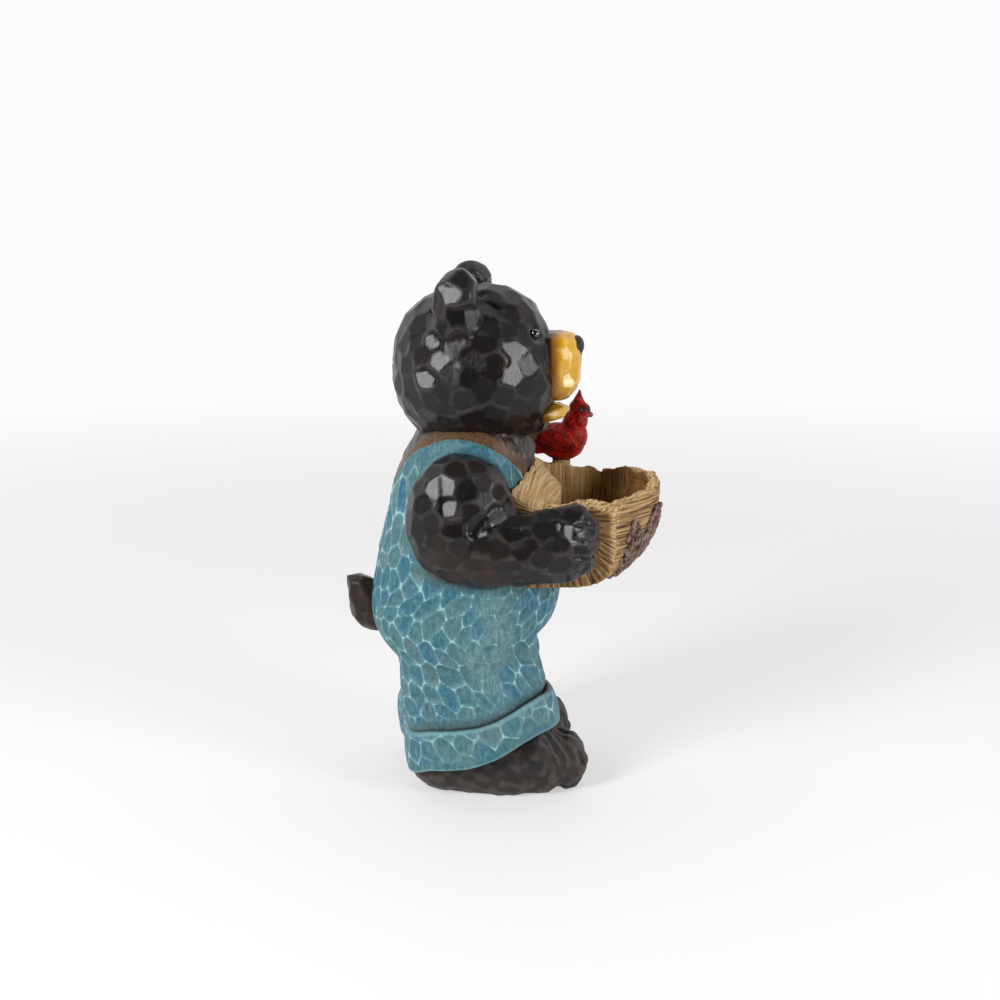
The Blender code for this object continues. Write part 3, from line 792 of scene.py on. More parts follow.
def gloss_paint():
    paint = Paint("gloss_black", IOR=1.5, Coat_Weight=1.0, Coat_Roughness=0.03, Coat_IOR=1.75)
    tint = paint.cloud(4, 2)
    colour = paint.mix(tint, (0.003, 0.003, 0.003), (0.008, 0.007, 0.007))
    return paint.done(colour, 0.08 + tint * 0.10, paint.cloud(1.5, 2), 0.06)


def foot_paint():
    paint = Paint("brown_black_feet", IOR=1.45)
    wear = paint.stored("wear")
    patches = paint.cloud(20, 4)
    grain = paint.cloud(1.8, 5, 0.75)
    chips = paint.step(paint.cloud(4, 3), 0.62, 0.66) * (1 - paint.step(paint.stored("rise"), 0.5, 1.6))
    colour = paint.layers(
        paint.mix(paint.step(patches, 0.35, 0.7), (0.009, 0.007, 0.0065), (0.028, 0.018, 0.013)),
        (paint.step(grain, 0.5, 0.8) * 0.5, (0.046, 0.037, 0.033)),
        (paint.step(wear + (grain - 0.5) * 0.3, 0.05, 0.45) * 0.3, (0.105, 0.094, 0.088)),
        # Near black in the deepest grooves
        (1 - paint.step(wear, -0.7, -0.15), (0.005, 0.004, 0.004)),
        (chips, (0.36, 0.28, 0.10)),
    )
    return paint.done(colour, 0.42 + patches * 0.2, grain, 0.45)


def wood_paint():
    """Carved golden wood: fine pale and brown lines along the grain, dark cracks, and inside the bowl a
    painted light towards the back wall and painted shade towards the front and bottom.
    """
    paint = Paint("golden_wood", IOR=1.40)
    crest, crack, dark, pale, wear, calm = (
        paint.stored(name) for name in ("crest", "crack", "dark", "pale", "wear", "calm")
    )
    patches = paint.cloud(15, 4, 0.6)
    fine = paint.cloud(1.0, 4, 0.75)
    lie = paint.vector("MULTIPLY", paint.stored("lie", "Vector"), (0.05, 1, 1))
    along = paint.cloud(1.6, 3, 0.7, lie)
    # pale carries the painted light inside the bowl as well as the paler rim, corner and outer skin
    level = crest * 0.45 + (along - 0.5) * (1 - calm) * 5.5 + (fine - 0.5) * 0.4
    level = level + wear * 0.5 + pale * 0.25 + 0.12
    body = paint.mix(paint.step(patches, 0.3, 0.7), (0.200, 0.094, 0.023), (0.320, 0.172, 0.052))
    high = paint.mix(fine, (0.520, 0.330, 0.140), (0.800, 0.610, 0.360))
    colour = paint.layers(
        paint.mix(patches, (0.055, 0.021, 0.005), (0.120, 0.052, 0.014)),
        (paint.step(level, -0.05, 0.35), paint.mix(pale, body, (0.470, 0.290, 0.115))),
        (paint.step(level, 0.50, 1.1) * (0.35 + pale * 0.65), high),
        # Painted shade inside the bowl
        (dark, (0.075, 0.036, 0.013)),
        (1 - paint.step(crack + (fine - 0.5) * 0.5, 0.1, 0.7), (0.018, 0.009, 0.005)),
    )
    return paint.done(colour, 0.52 + fine * 0.2, fine * 0.4 + along * 1.5, 0.6)


def bark_paint():
    paint = Paint("rough_bark", IOR=1.42)
    fine = paint.cloud(1.2, 5, 0.8)
    level = paint.stored("wear") + paint.stored("plates") * 0.5 + (fine - 0.5) * 0.9
    colour = paint.mix(paint.step(level, -0.55, 0.0), (0.022, 0.010, 0.006), (0.130, 0.070, 0.048))
    colour = paint.mix(paint.step(level, 0.15, 0.7), colour, (0.290, 0.200, 0.160))
    return paint.done(colour, 0.62 + fine * 0.2, fine, 0.7)


def bird_paint():
    paint = Paint("cardinal_red", IOR=1.28)
    crest = paint.stored("crest")
    blot = paint.cloud(5, 4, 0.65)
    fine = paint.cloud(0.9, 3, 0.7)
    washed = paint.mix(paint.step(blot, 0.35, 0.8), (0.012, 0.003, 0.002), (0.105, 0.006, 0.004))
    colour = paint.layers(
        paint.mix(paint.step(blot, 0.35, 0.7), (0.230, 0.004, 0.003), (0.540, 0.012, 0.009)),
        (paint.step(crest + (fine - 0.5) * 0.4, 0.5, 1.0) * 0.4, (0.560, 0.045, 0.036)),
        (paint.stored("wing"), washed),
        ((1 - paint.step(crest, 0.1, 0.4)) * 0.6, (0.025, 0.003, 0.002)),
        (paint.stored("mask"), (0.012, 0.009, 0.011)),
    )
    return paint.done(colour, 0.34 + fine * 0.2, fine + blot * 0.5, 0.12)


def plain_paint(name, colour, other, roughness, size=4):
    """One colour with slight variation, for small parts."""
    paint = Paint(name, IOR=1.48)
    cloud = paint.cloud(size, 3)
    height = paint.cloud(size * 0.3, 2)
    return paint.done(paint.mix(cloud, colour, other), roughness + cloud * 0.15, height, 0.1)


def finish_piece(skin, material, slot, *nodes):
    """Moves a piece from the grid to the frame, within the box of the solids, and paints it."""
    item = skin.item
    item.data.transform(GRID_TO_FRAME)
    points = np.empty(len(item.data.vertices) * 3)
    item.data.vertices.foreach_get("co", points)
    inside_box = np.clip(points.reshape(-1, 3), cad_low, cad_high)
    item.data.vertices.foreach_set("co", inside_box.ravel())
    item.data.materials.clear()
    item.data.materials.append(material)
    item.data.shade_smooth()
    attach(item, "root")
    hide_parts(*nodes)


def cut_flat(skin, level):
    """Cuts away what is below a level and closes the cut with flat faces."""
    shape = bmesh.new()
    shape.from_mesh(skin.item.data)
    bmesh.ops.bisect_plane(
        shape,
        geom=shape.verts[:] + shape.edges[:] + shape.faces[:],
        dist=1e-4,
        plane_co=(0, 0, level),
        plane_no=(0, 0, -1),
        clear_outer=True,
    )
    rim = [edge for edge in shape.edges if edge.is_boundary]
    bmesh.ops.edgeloop_fill(shape, edges=rim)
    bmesh.ops.triangulate(shape, faces=[face for face in shape.faces if len(face.verts) > 4])
    bmesh.ops.recalc_face_normals(shape, faces=shape.faces)
    shape.to_mesh(skin.item.data)
    shape.free()
    skin.read()


def head_skin():
    clay = Clay()
    clay.ball("head", HEAD_PIVOT, (80, 79, 78))
    clay.ball("head", (0, -4, 384), (66, 48, 48))
    clay.ball("head", (0, 10, 424), (58, 57, 59))
    clay.ball("head", (0, 38, 417), (60, 62, 62))
    clay.ball("chin", (0, -20, 354), (29, 28, 17))
    for side in SIDES:
        clay.ball("ear", (side * 51, 33, 452), (22, 25, 38), (0, side * 0.1, 0))
        clay.ball("ear", (side * 54, 32, 474), (20, 23, 25))
    clay.turn_with_head()
    head = Skin("head", clay, FUR_CELL)
    narrow = 1 - 0.17 * smooth_step((378 - head.points[:, 2]) / 36)
    head.move(head.points * np.column_stack([narrow, np.ones((len(narrow), 2))]))
    return head


def hollow_ears(skin):
    """Presses a cup into the front of each ear."""
    depths = np.zeros(len(skin.points))
    for side in SIDES:
        centre = np.array(on_head((side * 50, 8, 472)))
        away = np.linalg.norm((skin.points - centre) / (12, 18, 18), axis=1)
        depths += 8 * np.exp(-(away ** 6)) * np.clip(-skin.normals[:, 1], 0, 1)
    points = skin.points.copy()
    points[:, 1] += skin.blurred(depths, 3)
    skin.move(points)


# Facets of the head, muzzle and arm that catch the studio's windows: where each lies and how it faces. The
# muzzle's is also painted pale, a painted highlight
LEFT_GLINT = (-0.849, 0.396, 0.350)
RIGHT_GLINT = (-0.871, -0.424, 0.249)
HEAD_GLINTS = [
    ((-56.8, 63, 436.2), LEFT_GLINT),
    ((-66, 58.6, 418.6), LEFT_GLINT),
    ((-64.3, 68, 403), LEFT_GLINT),
    ((-68.6, 43.9, 476.4), LEFT_GLINT),
    ((-64.2, -10.3, 431.4), RIGHT_GLINT),
    ((-73.4, -8.2, 404.9), (-0.89, -0.385, 0.245)),
    ((-63, -25, 414), (-0.845, -0.47, 0.255)),
]
MUZZLE_GLINT = [((-37.0, -62.2, 396.4), RIGHT_GLINT)]
ARM_GLINTS = [
    ((-103.7, 50.5, 314), LEFT_GLINT),
    ((-112.2, 46.5, 293.7), LEFT_GLINT),
    ((-112.3, 44.1, 274.5), (-0.95, 0.2, 0.2)),
    ((-108.9, 18.9, 274.3), LEFT_GLINT),
    ((-100.1, 64, 311), LEFT_GLINT),
    ((-111.3, -59, 271.5), RIGHT_GLINT),
]


def eye_place(side):
    return np.array(on_head((side * 34, -36.5, 440.5)))


def carve_head(skin):
    hollow_ears(skin)
    heights, shade = knife_cuts(skin, *HEAD_FACETS, FACET_SEED, HEAD_GLINTS)
    heights *= 1 - 0.2 * (skin.regions() == "ear")
    for side in SIDES:
        away = np.linalg.norm((skin.points - eye_place(side)) / (9, 8, 7), axis=1)
        heights = heights * (1 - np.exp(-(away / 1.3) ** 4)) - 2.4 * np.exp(-(away ** 4))
    skin.push(heights)
    # Darker and browner towards the bottom of the head
    low = smooth_step((372 - skin.points[:, 2]) / 40)
    soil = 0.5 * low * (0.5 + 0.5 * ripples(skin.points, 30, 3)).clip(0, 1)
    skin.mark(shade=shade, soil=soil)
    skin.mark_wear()


def muzzle_skin():
    clay = Clay()
    clay.tower("muzzle", [
        (375, -10, -59, 18),
        (380, -10, -68, 26),
        (392, -10, -75, 31),
        (408, -10, -76.5, 32),
        (422, -10, -76, 30),
        (431, -10, -74, 27),
        (438, -10, -67, 20),
    ], 26, 2.6)
    clay.turn_with_head()
    return Skin("muzzle", clay, MUZZLE_CELL)


def small_part(name, cell, *balls):
    """A small part of the head, from balls of a centre, radii and sometimes a turn."""
    clay = Clay()
    for ball in balls:
        clay.ball(name, *ball)
    clay.turn_with_head()
    return Skin(name, clay, cell)


def build_head():
    head = head_skin()
    carve_head(head)
    muzzle = muzzle_skin()
    lip = small_part("lower_lip", LIP_CELL, ((0, -39, 361.5), (25, 27, 8.8), (-0.16, 0, 0)))
    # pale holds the fixed facets; on the muzzle the paint makes its facet a painted highlight
    for piece, facets, reach, low, pale in (
        (muzzle, MUZZLE_FACETS, 50, 386, MUZZLE_GLINT),
        (lip, LIP_FACETS, 43, 345, []),
    ):
        heights, shade = knife_cuts(piece, *facets, FACET_SEED, pale)
        piece.push(heights)
        base = -off_head(piece.points)[:, 1] - reach
        piece.mark(shade=shade, base=base, under=smooth_step((low + 8 - piece.points[:, 2]) / 16))
        piece.mark_wear()
    balls = []
    for side in SIDES:
        x, y, z = off_head(eye_place(side))
        balls.append(((x - side * 1.8, y + 2.0, z - 0.5), (4.8, 4.8, 4.8)))
    eyes = small_part("eyes", EYE_CELL, *balls)
    nose = small_part(
        "nose", NOSE_CELL, ((0, -71.5, 426), (15, 7.5, 9.5)), ((0, -70, 418.5), (8, 7, 7))
    )
    ochre = muzzle_paint()
    matt = plain_paint("nose_black", (0.004, 0.004, 0.004), (0.010, 0.009, 0.009), 0.5)
    for piece, material in (
        (head, fur_paint()),
        (muzzle, ochre),
        (lip, ochre),
        (nose, matt),
        (eyes, gloss_paint()),
    ):
        finish_piece(piece, material, "painted_bear", "bear_figure")


# Heights of the turned-up cuffs' edges, from the heel forwards in shares of CUFF_LENGTH
CUFF_HEEL = 90
CUFF_LENGTH = 140
CUFF_BOTTOM = ((0, 0.15, 0.43, 0.59, 0.79, 0.89, 1.0, 1.07), (20, 31, 37, 45, 61, 67, 69, 68))
CUFF_TOP = ((-0.05, 0.15, 0.47, 0.59, 0.69, 0.79, 0.89, 1.0), (61, 72, 78, 83.5, 90.5, 98, 103, 102))


def set_back(side):
    """How far back a foot stands."""
    return LEFT_FOOT_BACK if side > 0 else 0


def cuff_edges(points, side):
    """Heights of a cuff's bottom and top edge at points."""
    forward = (set_back(side) + CUFF_HEEL - points[:, 1]) / CUFF_LENGTH
    return np.interp(forward, *CUFF_BOTTOM), np.interp(forward, *CUFF_TOP)


def leg_outline(side, z, back, front, half, grow):
    """A level ring round a trouser leg; the left leg is set back, more so further down."""
    shift = set_back(side) * float(smooth_step((125 - z) / 60))
    centre = (side * 45, (back + front) / 2 + shift, z)
    return super_ring(centre, half + grow, (back - front) / 2 + grow, 2.3)


def body_skin():
    """Trunk, trouser legs and the web between them."""
    clay = Clay()
    clay.tower("torso", [
        (112, 84, -24, 60),
        (120, 95, -32, 76),
        (131, 104.5, -35, 84),
        (142, 113.5, -36, 88),
        (150, 119, -38, 89),
        (158, 122.5, -45.5, 90),
        (166, 124.5, -51.5, 90),
        (178, 125.5, -56, 90),
        (194, 124, -58, 89),
        (225, 118, -52, 86),
        (249, 112.5, -46, 83),
        (272, 107, -39, 80),
        (292, 104, -34, 77),
        (310, 99, -34, 73),
        (327, 92, -36, 68),
        (341, 84, -32, 64),
        (350, 78, -25, 59),
        (358, 66, -12, 49),
    ], 74, 2.25)
    clay.tower("leg", [(80, 80, -26, 16), (110, 86, -28, 18), (140, 90, -28, 20)], 20, 3)
    rows = smooth_rows([
        (60, 86, -42, 40),
        (80, 88, -40, 41.5),
        (98, 90, -39.5, 42.5),
        (118, 93.5, -41, 44),
        (134, 97, -41.5, 43),
        (150, 98, -35, 36),
        (160, 98, -26, 26),
    ], 40)
    for side in SIDES:
        rings = []
        for i, row in enumerate(rows):
            ring = leg_outline(side, *row, 0)
            low, high = cuff_edges(ring, side)
            share = i / (len(rows) - 1)
            ring[:, 2] = ((low + high) / 2 - 2) * (1 - share) + row[0] * share
            rings.append(ring)
        clay.loft("leg", rings)
    return Skin("overalls", clay, CLOTH_CELL)


def blend_hips(skin):
    """Melts the seam between the trunk and the trouser legs into one smooth side."""
    near = (np.abs(skin.points[:, 2] - 138) < 24) & (np.abs(skin.points[:, 0]) > 40)
    shape = bmesh.new()
    shape.from_mesh(skin.item.data)
    soft = [vert for vert, pick in zip(shape.verts, near) if pick]
    for _ in range(70):
        bmesh.ops.smooth_vert(
            shape, verts=soft, factor=0.5, use_axis_x=True, use_axis_y=True, use_axis_z=True
        )
    shape.to_mesh(skin.item.data)
    shape.free()
    skin.read()


# The neck edge of the blue cloth on the bear's right, from the front over the shoulder and down the
# back to where both sides meet, and the width of the band beside it
HEM_LINE = [
    (40, -40, 250, 12),
    (42, -36, 275, 12),
    (46, -28, 298, 12),
    (51.4, -14.8, 316, 12),
    (56.7, 6.5, 333.8, 13),
    (55.0, 27.5, 341.6, 15.5),
    (48.9, 50.4, 341.4, 16),
    (45.4, 64.2, 337.1, 14),
    (35.4, 77.5, 328.2, 11),
    (24, 92, 309, 8),
    (15, 103, 285, 6),
    (8, 110, 258, 4),
    (0, 116, 234, 3),
]


def hem_distance(points, normals):
    """Distance from the neck edge of the cloth, positive on the cloth, and the band's width there."""
    rows = smooth_rows(HEM_LINE, 240)
    fold = np.column_stack([np.sign(points[:, 0]), np.ones((len(points), 2))])
    folded, outward = points * fold, normals * fold
    at = nearest(folded, rows[:, :3], 1)[:, 0]
    offset = folded - rows[at, :3]
    heading = np.gradient(rows[:, :3], axis=0)[at]
    side = np.sign(np.einsum("ij,ij->i", offset, np.cross(heading, outward)))
    bib_top = np.where(points[:, 1] < 20, 262, 234)
    return np.maximum(side * np.linalg.norm(offset, axis=1), bib_top - points[:, 2]), rows[at, 3]


def worn_cloth(points):
    """Where the sides of the overalls are smooth and weathered, from 0 to 1."""
    across = (points[:, 1] - 11 + 6 * ripples(points, 45, 32)) / 19
    up = (points[:, 2] - 158) / 58
    side = np.exp(-np.abs(across) ** 3 - up ** 4)
    return np.clip(side * (1 + 0.5 * ripples(points, 16, 31)), 0, 1)


def mark_cloth(skin, places, border, worn, seed):
    """Stores the cells of a piece of cloth, whose places are stretched so that round cells lie long."""
    drift = np.column_stack([ripples(places, 30, 7 + i) for i in range(3)])
    ridge, cell = oval_cells(places + 1.5 * drift, seed)
    skin.mark(ridge=ridge, cell=cell, gouge=border * (1 - 0.85 * worn), worn=worn)


def cloth_places(points):
    """Points of the overalls for their cells: long ones on the straps, leaning ones on the legs."""
    heights = np.arange(0, 400)
    squeeze = 0.76 - 0.34 * smooth_step((heights - 220) / 70)
    risen = np.concatenate([[0], np.cumsum(squeeze)])[:-1]
    x, y, z = points.T
    lean = 0.45 * smooth_step((215 - z) / 60) * (z - 100)
    return np.column_stack([x, y - lean, np.interp(z, heights, risen)])


def carve_body(body, arms):
    blend_hips(body)
    hem, band = hem_distance(body.points, body.normals)
    arm_gap = body.gap_to(arms, 14)
    hem = np.where(body.points[:, 2] > 150, hem, 40)
    lift = -1.5 * smooth_step(-hem / 1.2) - 1.6 * smooth_step((-hem - band) / 1.5)
    body.push(body.without_tears(lift + 0.6 * bump(hem - 2.2, 2.0), 0.9))
    cuff_gap = np.full(len(body.points), 99.0)
    for side in SIDES:
        _, top = cuff_edges(body.points, side)
        here = body.points[:, 0] * side > 0
        cuff_gap[here] = (body.points[:, 2] - top)[here]
    free = np.minimum(np.minimum(hem - 1, arm_gap - 4), cuff_gap - 8)
    cuts, shade = knife_cuts(body, *NECK_FACETS, FACET_SEED)
    tuft = 1.1 * ripples(body.points / (1, 1, 5), 7, 17) * smooth_step((40 - body.points[:, 1]) / 20)
    heights = np.where(hem > 0, 0.4 * bump(free - 1.5, 1.6), np.where(-hem > band, cuts + tuft, -0.2))
    heights -= 1.6 * bump(arm_gap, 1.8) + 1.0 * smooth_step((3 - cuff_gap) / 5)
    body.push(body.blurred(heights, 1))
    border = smooth_step((free - 1) / 4) * (1 - 0.75 * smooth_step((body.points[:, 2] - 312) / 20))
    mark_cloth(body, cloth_places(body.points), border, worn_cloth(body.points), CLOTH_SEED)
    # Painted shade: darker in the crease round each arm, in the hollow above the cuffs and low under the
    # arms
    brown = 0.6 * smooth_step((4 - cuff_gap) / 5) + 0.4 * smooth_step((13 - cuff_gap) / 9)
    under = 0.35 * smooth_step((12 - arm_gap) / 10) * smooth_step((240 - body.points[:, 2]) / 20)
    soil = np.clip(0.85 * bump(arm_gap, 2.2) + brown + under, 0, 0.9)
    body.mark(hem=hem, band=band, soil=soil, shade=shade)
    body.mark_wear()


def cuff_skin(side, name):
    """A turned-up band whose top rolls in to the leg."""
    clay = Clay()
    profile = [(0.0, 1.0), (0.0, 5.0)]
    for share in np.linspace(0.03, 0.9, 15):
        profile.append((share, CUFF_FLARE * (0.85 + 0.3 * math.sin(math.pi * share))))
    profile += [(0.96, 6.4), (0.995, 4.2), (0.99, 1.6), (0.94, 0.4)]
    rings = []
    for share, swell in profile:
        ring = leg_outline(side, 60, 84 + 3 * share, -50 + 8 * share, 41 + share, swell)
        low, high = cuff_edges(ring, side)
        ring[:, 2] = low * (1 - share) + high * share
        rings.append(ring)
    clay.loft("cuff", rings)
    return Skin(name, clay, CUFF_CELL, 2)


def carve_cuff(cuff, side):
    points = cuff.points
    x, y, _ = points.T
    low, high = cuff_edges(points, side)
    rise = points[:, 2] - low
    border = smooth_step(np.minimum(rise - 9, high - points[:, 2] - 0.5) / 4)
    worn = 0.5 * np.clip(ripples(points, 30, 5), 0, 1)
    mark_cloth(cuff, np.column_stack([x, y * 0.95 - 0.5 * rise, rise * 0.66]), border, worn, CUFF_SEED)
    inner = np.hypot((x - side * 45) / 44, (y - 20) / 69.5) < 1
    # Painted shade: darker along the cuff's bottom edge and inside its rolled top
    soil = smooth_step((1.5 - rise) / 3) * 0.5 + inner * smooth_step((rise - 20) / 4) * 0.7
    cuff.mark(soil=np.clip(cuff.blurred(soil, 2), 0, 1))
    cuff.mark_wear()


FINGER_GAPS = (277, 263, 247)


def arm_skin(side, name):
    """Shoulder, forearm along the log's end, and a mitt whose fingers lie flat on the wood."""
    clay = Clay()
    clay.ball("arm", (side * (LOG_HALF + 3.5), 38, 276), (36.5, 50, 60))
    clay.limb("arm", [
        (side * (LOG_HALF + 7.5), 44, 264, 32.5, 39),
        (side * (LOG_HALF + 14), 22, 251, 29.5, 35),
        (side * (LOG_HALF + 19), -8, 251, 26.5, 33),
        (side * (LOG_HALF + 20), -38, 254, 24.5, 33.5),
    ])
    clay.ball("arm", (side * (LOG_HALF + 17), -52, 255.5), (24, 32, 35.5))
    for y, z, size in ((-67, 283, 9.5), (-76, 271, 11), (-77, 255, 11), (-72, 238, 12)):
        clay.ball("finger", (side * (LOG_HALF + 13), y, z), (15, size + 1, size), (0.2, 0, 0))
    return Skin(name, clay, FUR_CELL)


def carve_arm(arm, side):
    _, y, z = arm.points.T
    gaps = sum(bump(z - gap - 0.15 * (y + 70), 1.7) for gap in FINGER_GAPS)
    hand = smooth_step((-y - 58) / 10)
    arm.push(-2.6 * gaps * hand)
    fixed = [((side * -place[0], *place[1:]), (side * -way[0], *way[1:])) for place, way in ARM_GLINTS]
    heights, shade = knife_cuts(arm, *ARM_FACETS, FACET_SEED, fixed)
    small, _ = knife_cuts(arm, *HAND_FACETS, HAND_SEED)
    arm.push(heights * (1 - 0.7 * hand) + small * hand)
    _, y, z = arm.points.T
    # Painted shade, browner, on the lower side of the arm towards the body
    low = smooth_step((268 - z) / 42) * smooth_step((y + 10) / 30)
    soil = np.clip(0.95 * low * (0.6 + 0.4 * ripples(arm.points, 22, 8)), 0, 1)
    arm.mark(shade=shade, soil=soil)
    arm.mark_wear()


TOES = (
    ((22, -58, 24), (12, 16, 25)),
    ((38, -66, 25), (12, 16, 28)),
    ((54, -64, 26), (12.5, 18, 28)),
    ((65, -38, 24), (11, 20, 25)),
)
CLAWS = (
    ((24, -74, 21), (4.5, 4, 6.5)),
    ((42, -81, 24), (4.5, 4, 6.5)),
    ((61, -76, 22), (4, 4.5, 6)),
    ((74, -47, 20), (3.5, 4, 6)),
)
KNUCKLES = (
    ((71, -33, 37), 4.5),
    ((67, -26, 49), 4),
)


def foot_skin(side, name):
    """A broad bear's foot, turned outwards, with four toes and an oval claw on each."""
    clay = Clay()
    lumps = [
        ((36, 52, 22), (38, 36, 25)),
        ((40, 22, 24), (39, 56, 30)),
        ((44, -6, 27), (34, 50, 33)),
        ((55, -6, 14), (24, 46, 18)),
        ((49, -33, 34), (27, 26, 36)),
        ((65, -38, 33), (10, 18, 16)),
        ((52, -50, 29), (19, 23, 28)),
    ]
    balls = [("foot", *lump) for lump in lumps] + [("toe", *toe) for toe in TOES]
    balls += [("claw", *claw) for claw in CLAWS]
    balls += [("toe", place, (size, size, size)) for place, size in KNUCKLES]
    for region, (x, y, z), radii in balls:
        clay.ball(region, (side * x, y + set_back(side), z), radii)
    return Skin(name, clay, FOOT_CELL)


def carve_foot(foot, side):
    x, y, z = foot.points.T
    across = np.abs(x)
    forward = y - set_back(side)
    claw = (foot.regions() == "claw").astype(float)
    ridges = ripples(np.column_stack([across * 0.9 + 0.3 * forward, 0 * y, 0 * z]), 5, 18)
    top = smooth_step((z - 24) / 10) * smooth_step((-forward - 18) / 20)
    top = top * smooth_step((74 - across) / 5)
    heights, _ = knife_cuts(foot, *FOOT_FACETS, FACET_SEED)
    heights = heights + 1.3 * ridges * top
    for (inner, _), (outer, _) in zip(TOES, TOES[1:]):
        gap = (inner[0] + outer[0]) / 2 + 1
        split = across - (32 + (gap - 32) * smooth_step((24 - forward) / 70))
        low_front = smooth_step((-forward - 36) / 20) * smooth_step((46 - z) / 14)
        heights = heights - 2.6 * bump(split, 1.7) * low_front
    foot.push(heights * (1 - 0.8 * claw) + 0.4 * claw)
    cut_flat(foot, 0)
    foot.mark(rise=foot.points[:, 2])
    foot.mark_wear(10)


def build_tail():
    """A short horn-shaped tail, cut flat at its top, whose tip points back and up."""
    clay = Clay()
    clay.tower("tail", [
        (147, 128, 98, 9),
        (152, 138, 98, 14),
        (161, 145, 100, 17),
        (174, 147.5, 106, 17),
        (187, 148.5, 113, 16),
        (196, 149.3, 121, 13.5),
        (201.5, 149.6, 130, 9),
    ], 40, 2.1)
    tail = Skin("tail", clay, TAIL_CELL)
    heights, shade = knife_cuts(tail, *TAIL_FACETS, TAIL_SEED)
    tail.push(tail.blurred(heights, 1) - 0.3)
    tail.mark(shade=shade, soil=0.5 + 0.5 * ripples(tail.points, 20, 3))
    tail.mark_wear()
    return tail


def build_bear():
    sides = list(zip(SIDES, ("right", "left")))
    arms = [arm_skin(side, f"arm_{name}") for side, name in sides]
    cuffs = [cuff_skin(side, f"cuff_{name}") for side, name in sides]
    feet = [foot_skin(side, f"foot_{name}") for side, name in sides]
    body = body_skin()
    carve_body(body, arms)
    for side, arm, cuff, foot in zip(SIDES, arms, cuffs, feet):
        carve_arm(arm, side)
        carve_cuff(cuff, side)
        carve_foot(foot, side)
    build_head()
    cloth, turned_up, black = cloth_paint(), cuff_paint(), bpy.data.materials["black_fur"]
    tree = gouging_tree()
    use_tree(body.item, tree, {**BODY_GOUGES, "Finish": cloth})
    for cuff in cuffs:
        use_tree(cuff.item, tree, {**CUFF_GOUGES, "Finish": turned_up})
    for pieces, material in (
        ([body], cloth),
        (cuffs, turned_up),
        (arms, black),
        (feet, foot_paint()),
        ([build_tail()], black),
    ):
        for piece in pieces:
            finish_piece(piece, material, "painted_bear", "bear_figure")


def rim_height(across, forward):
    """Height of the torn rim over the log's underside, as a share of LOG_HEIGHT.

    across runs from 0 at the right end to 1 at the left, forward from 0 at the back to 1.
    """
    back = (1.15, 1.33, 1.38, 1.31, 1.19)
    front = (0.98, 1.04, 1.09, 1.11, 1.00)
    right = (back[0], 0.99, 0.98, 0.97, front[0])
    left = (back[-1], 1.15, 1.065, 1.05, front[-1])
    ends = between(right, forward) * (1 - across) + between(left, forward) * across
    sides = between(back, across) * (1 - forward) + between(front, across) * forward
    corners = (
        (back[0] * (1 - forward) + front[0] * forward) * (1 - across)
        + (back[-1] * (1 - forward) + front[-1] * forward) * across
    )
    return ends + sides - corners


def grain_places(points, on_end, torn, inner_end):
    """Points turned so that the grain of the wood runs along the first axis everywhere."""
    x, y, z = points.T
    dy, dz = y - END_CENTRE[0], z - END_CENTRE[1]
    lie = straightened(points)
    slanted = np.column_stack([x - 0.35 * y, 0.35 * x + y, 0 * z])
    for share, places in (
        (inner_end, np.column_stack([z, y, x])),
        (torn, slanted),
        (on_end, np.column_stack([np.hypot(dy, dz), np.arctan2(dz, dy) * 42, np.sign(x) * 9])),
    ):
        lie = np.where((share > 0.5)[:, None], places, lie)
    return lie


def torn_share(x):
    """Where along the log the back wall is split away into a slope, from 0 to 1."""
    return float(smooth_step((x + 66) / 14) * smooth_step((52 - x) / 30))


def log_profile(x, inset):
    """Back y, front y, bottom z and the roundings of a slice across the log."""
    belly = 1 - (x / LOG_HALF) ** 2
    back = LOG_BACK_AT - LOG_BACK_CURVE * belly - inset * LOG_BACK_WALL
    front = LOG_BACK_AT - LOG_END_DEPTH - LOG_FRONT_BULGE * belly + inset * LOG_WALL
    bottom = LOG_BOTTOM + inset * LOG_FLOOR
    round_z = (LOG_END_ROUNDING + (LOG_MIDDLE_ROUNDING - LOG_END_ROUNDING) * belly) * LOG_HEIGHT
    round_y = min(round_z * 0.95, (back - front) * 0.7)
    return back, front, bottom, round_y, round_z


def log_slice(x, inset, top, steps):
    """A closed ring of the log at x: down the back, along the bottom, up the front, over the top."""
    back, front, bottom, round_y, round_z = log_profile(x, inset)
    heel = LOG_HEEL_ROUND
    ring = []
    for share in np.linspace(0, 1, steps, endpoint=False):
        ring.append((back, top(x, back, back, front) * (1 - share) + (bottom + heel) * share))
    for turn in np.linspace(0, math.pi / 2, steps, endpoint=False):
        ring.append((back - heel * (1 - math.cos(turn)), bottom + heel * (1 - math.sin(turn))))
    for share in np.linspace(0, 1, steps, endpoint=False):
        ring.append(((back - heel) * (1 - share) + (front + round_y) * share, bottom))
    for turn in np.linspace(0, math.pi / 2, 2 * steps, endpoint=False):
        power = 2 / 2.4
        ring.append((
            front + round_y * (1 - math.sin(turn) ** power),
            bottom + round_z * (1 - math.cos(turn) ** power),
        ))
    for share in np.linspace(0, 1, steps, endpoint=False):
        ring.append((front, (bottom + round_z) * (1 - share) + top(x, front, back, front) * share))
    for share in np.linspace(0, 1, 4 * steps, endpoint=False):
        y = front * (1 - share) + back * share
        ring.append((y, top(x, y, back, front)))
    return [(x, y, z) for y, z in ring]


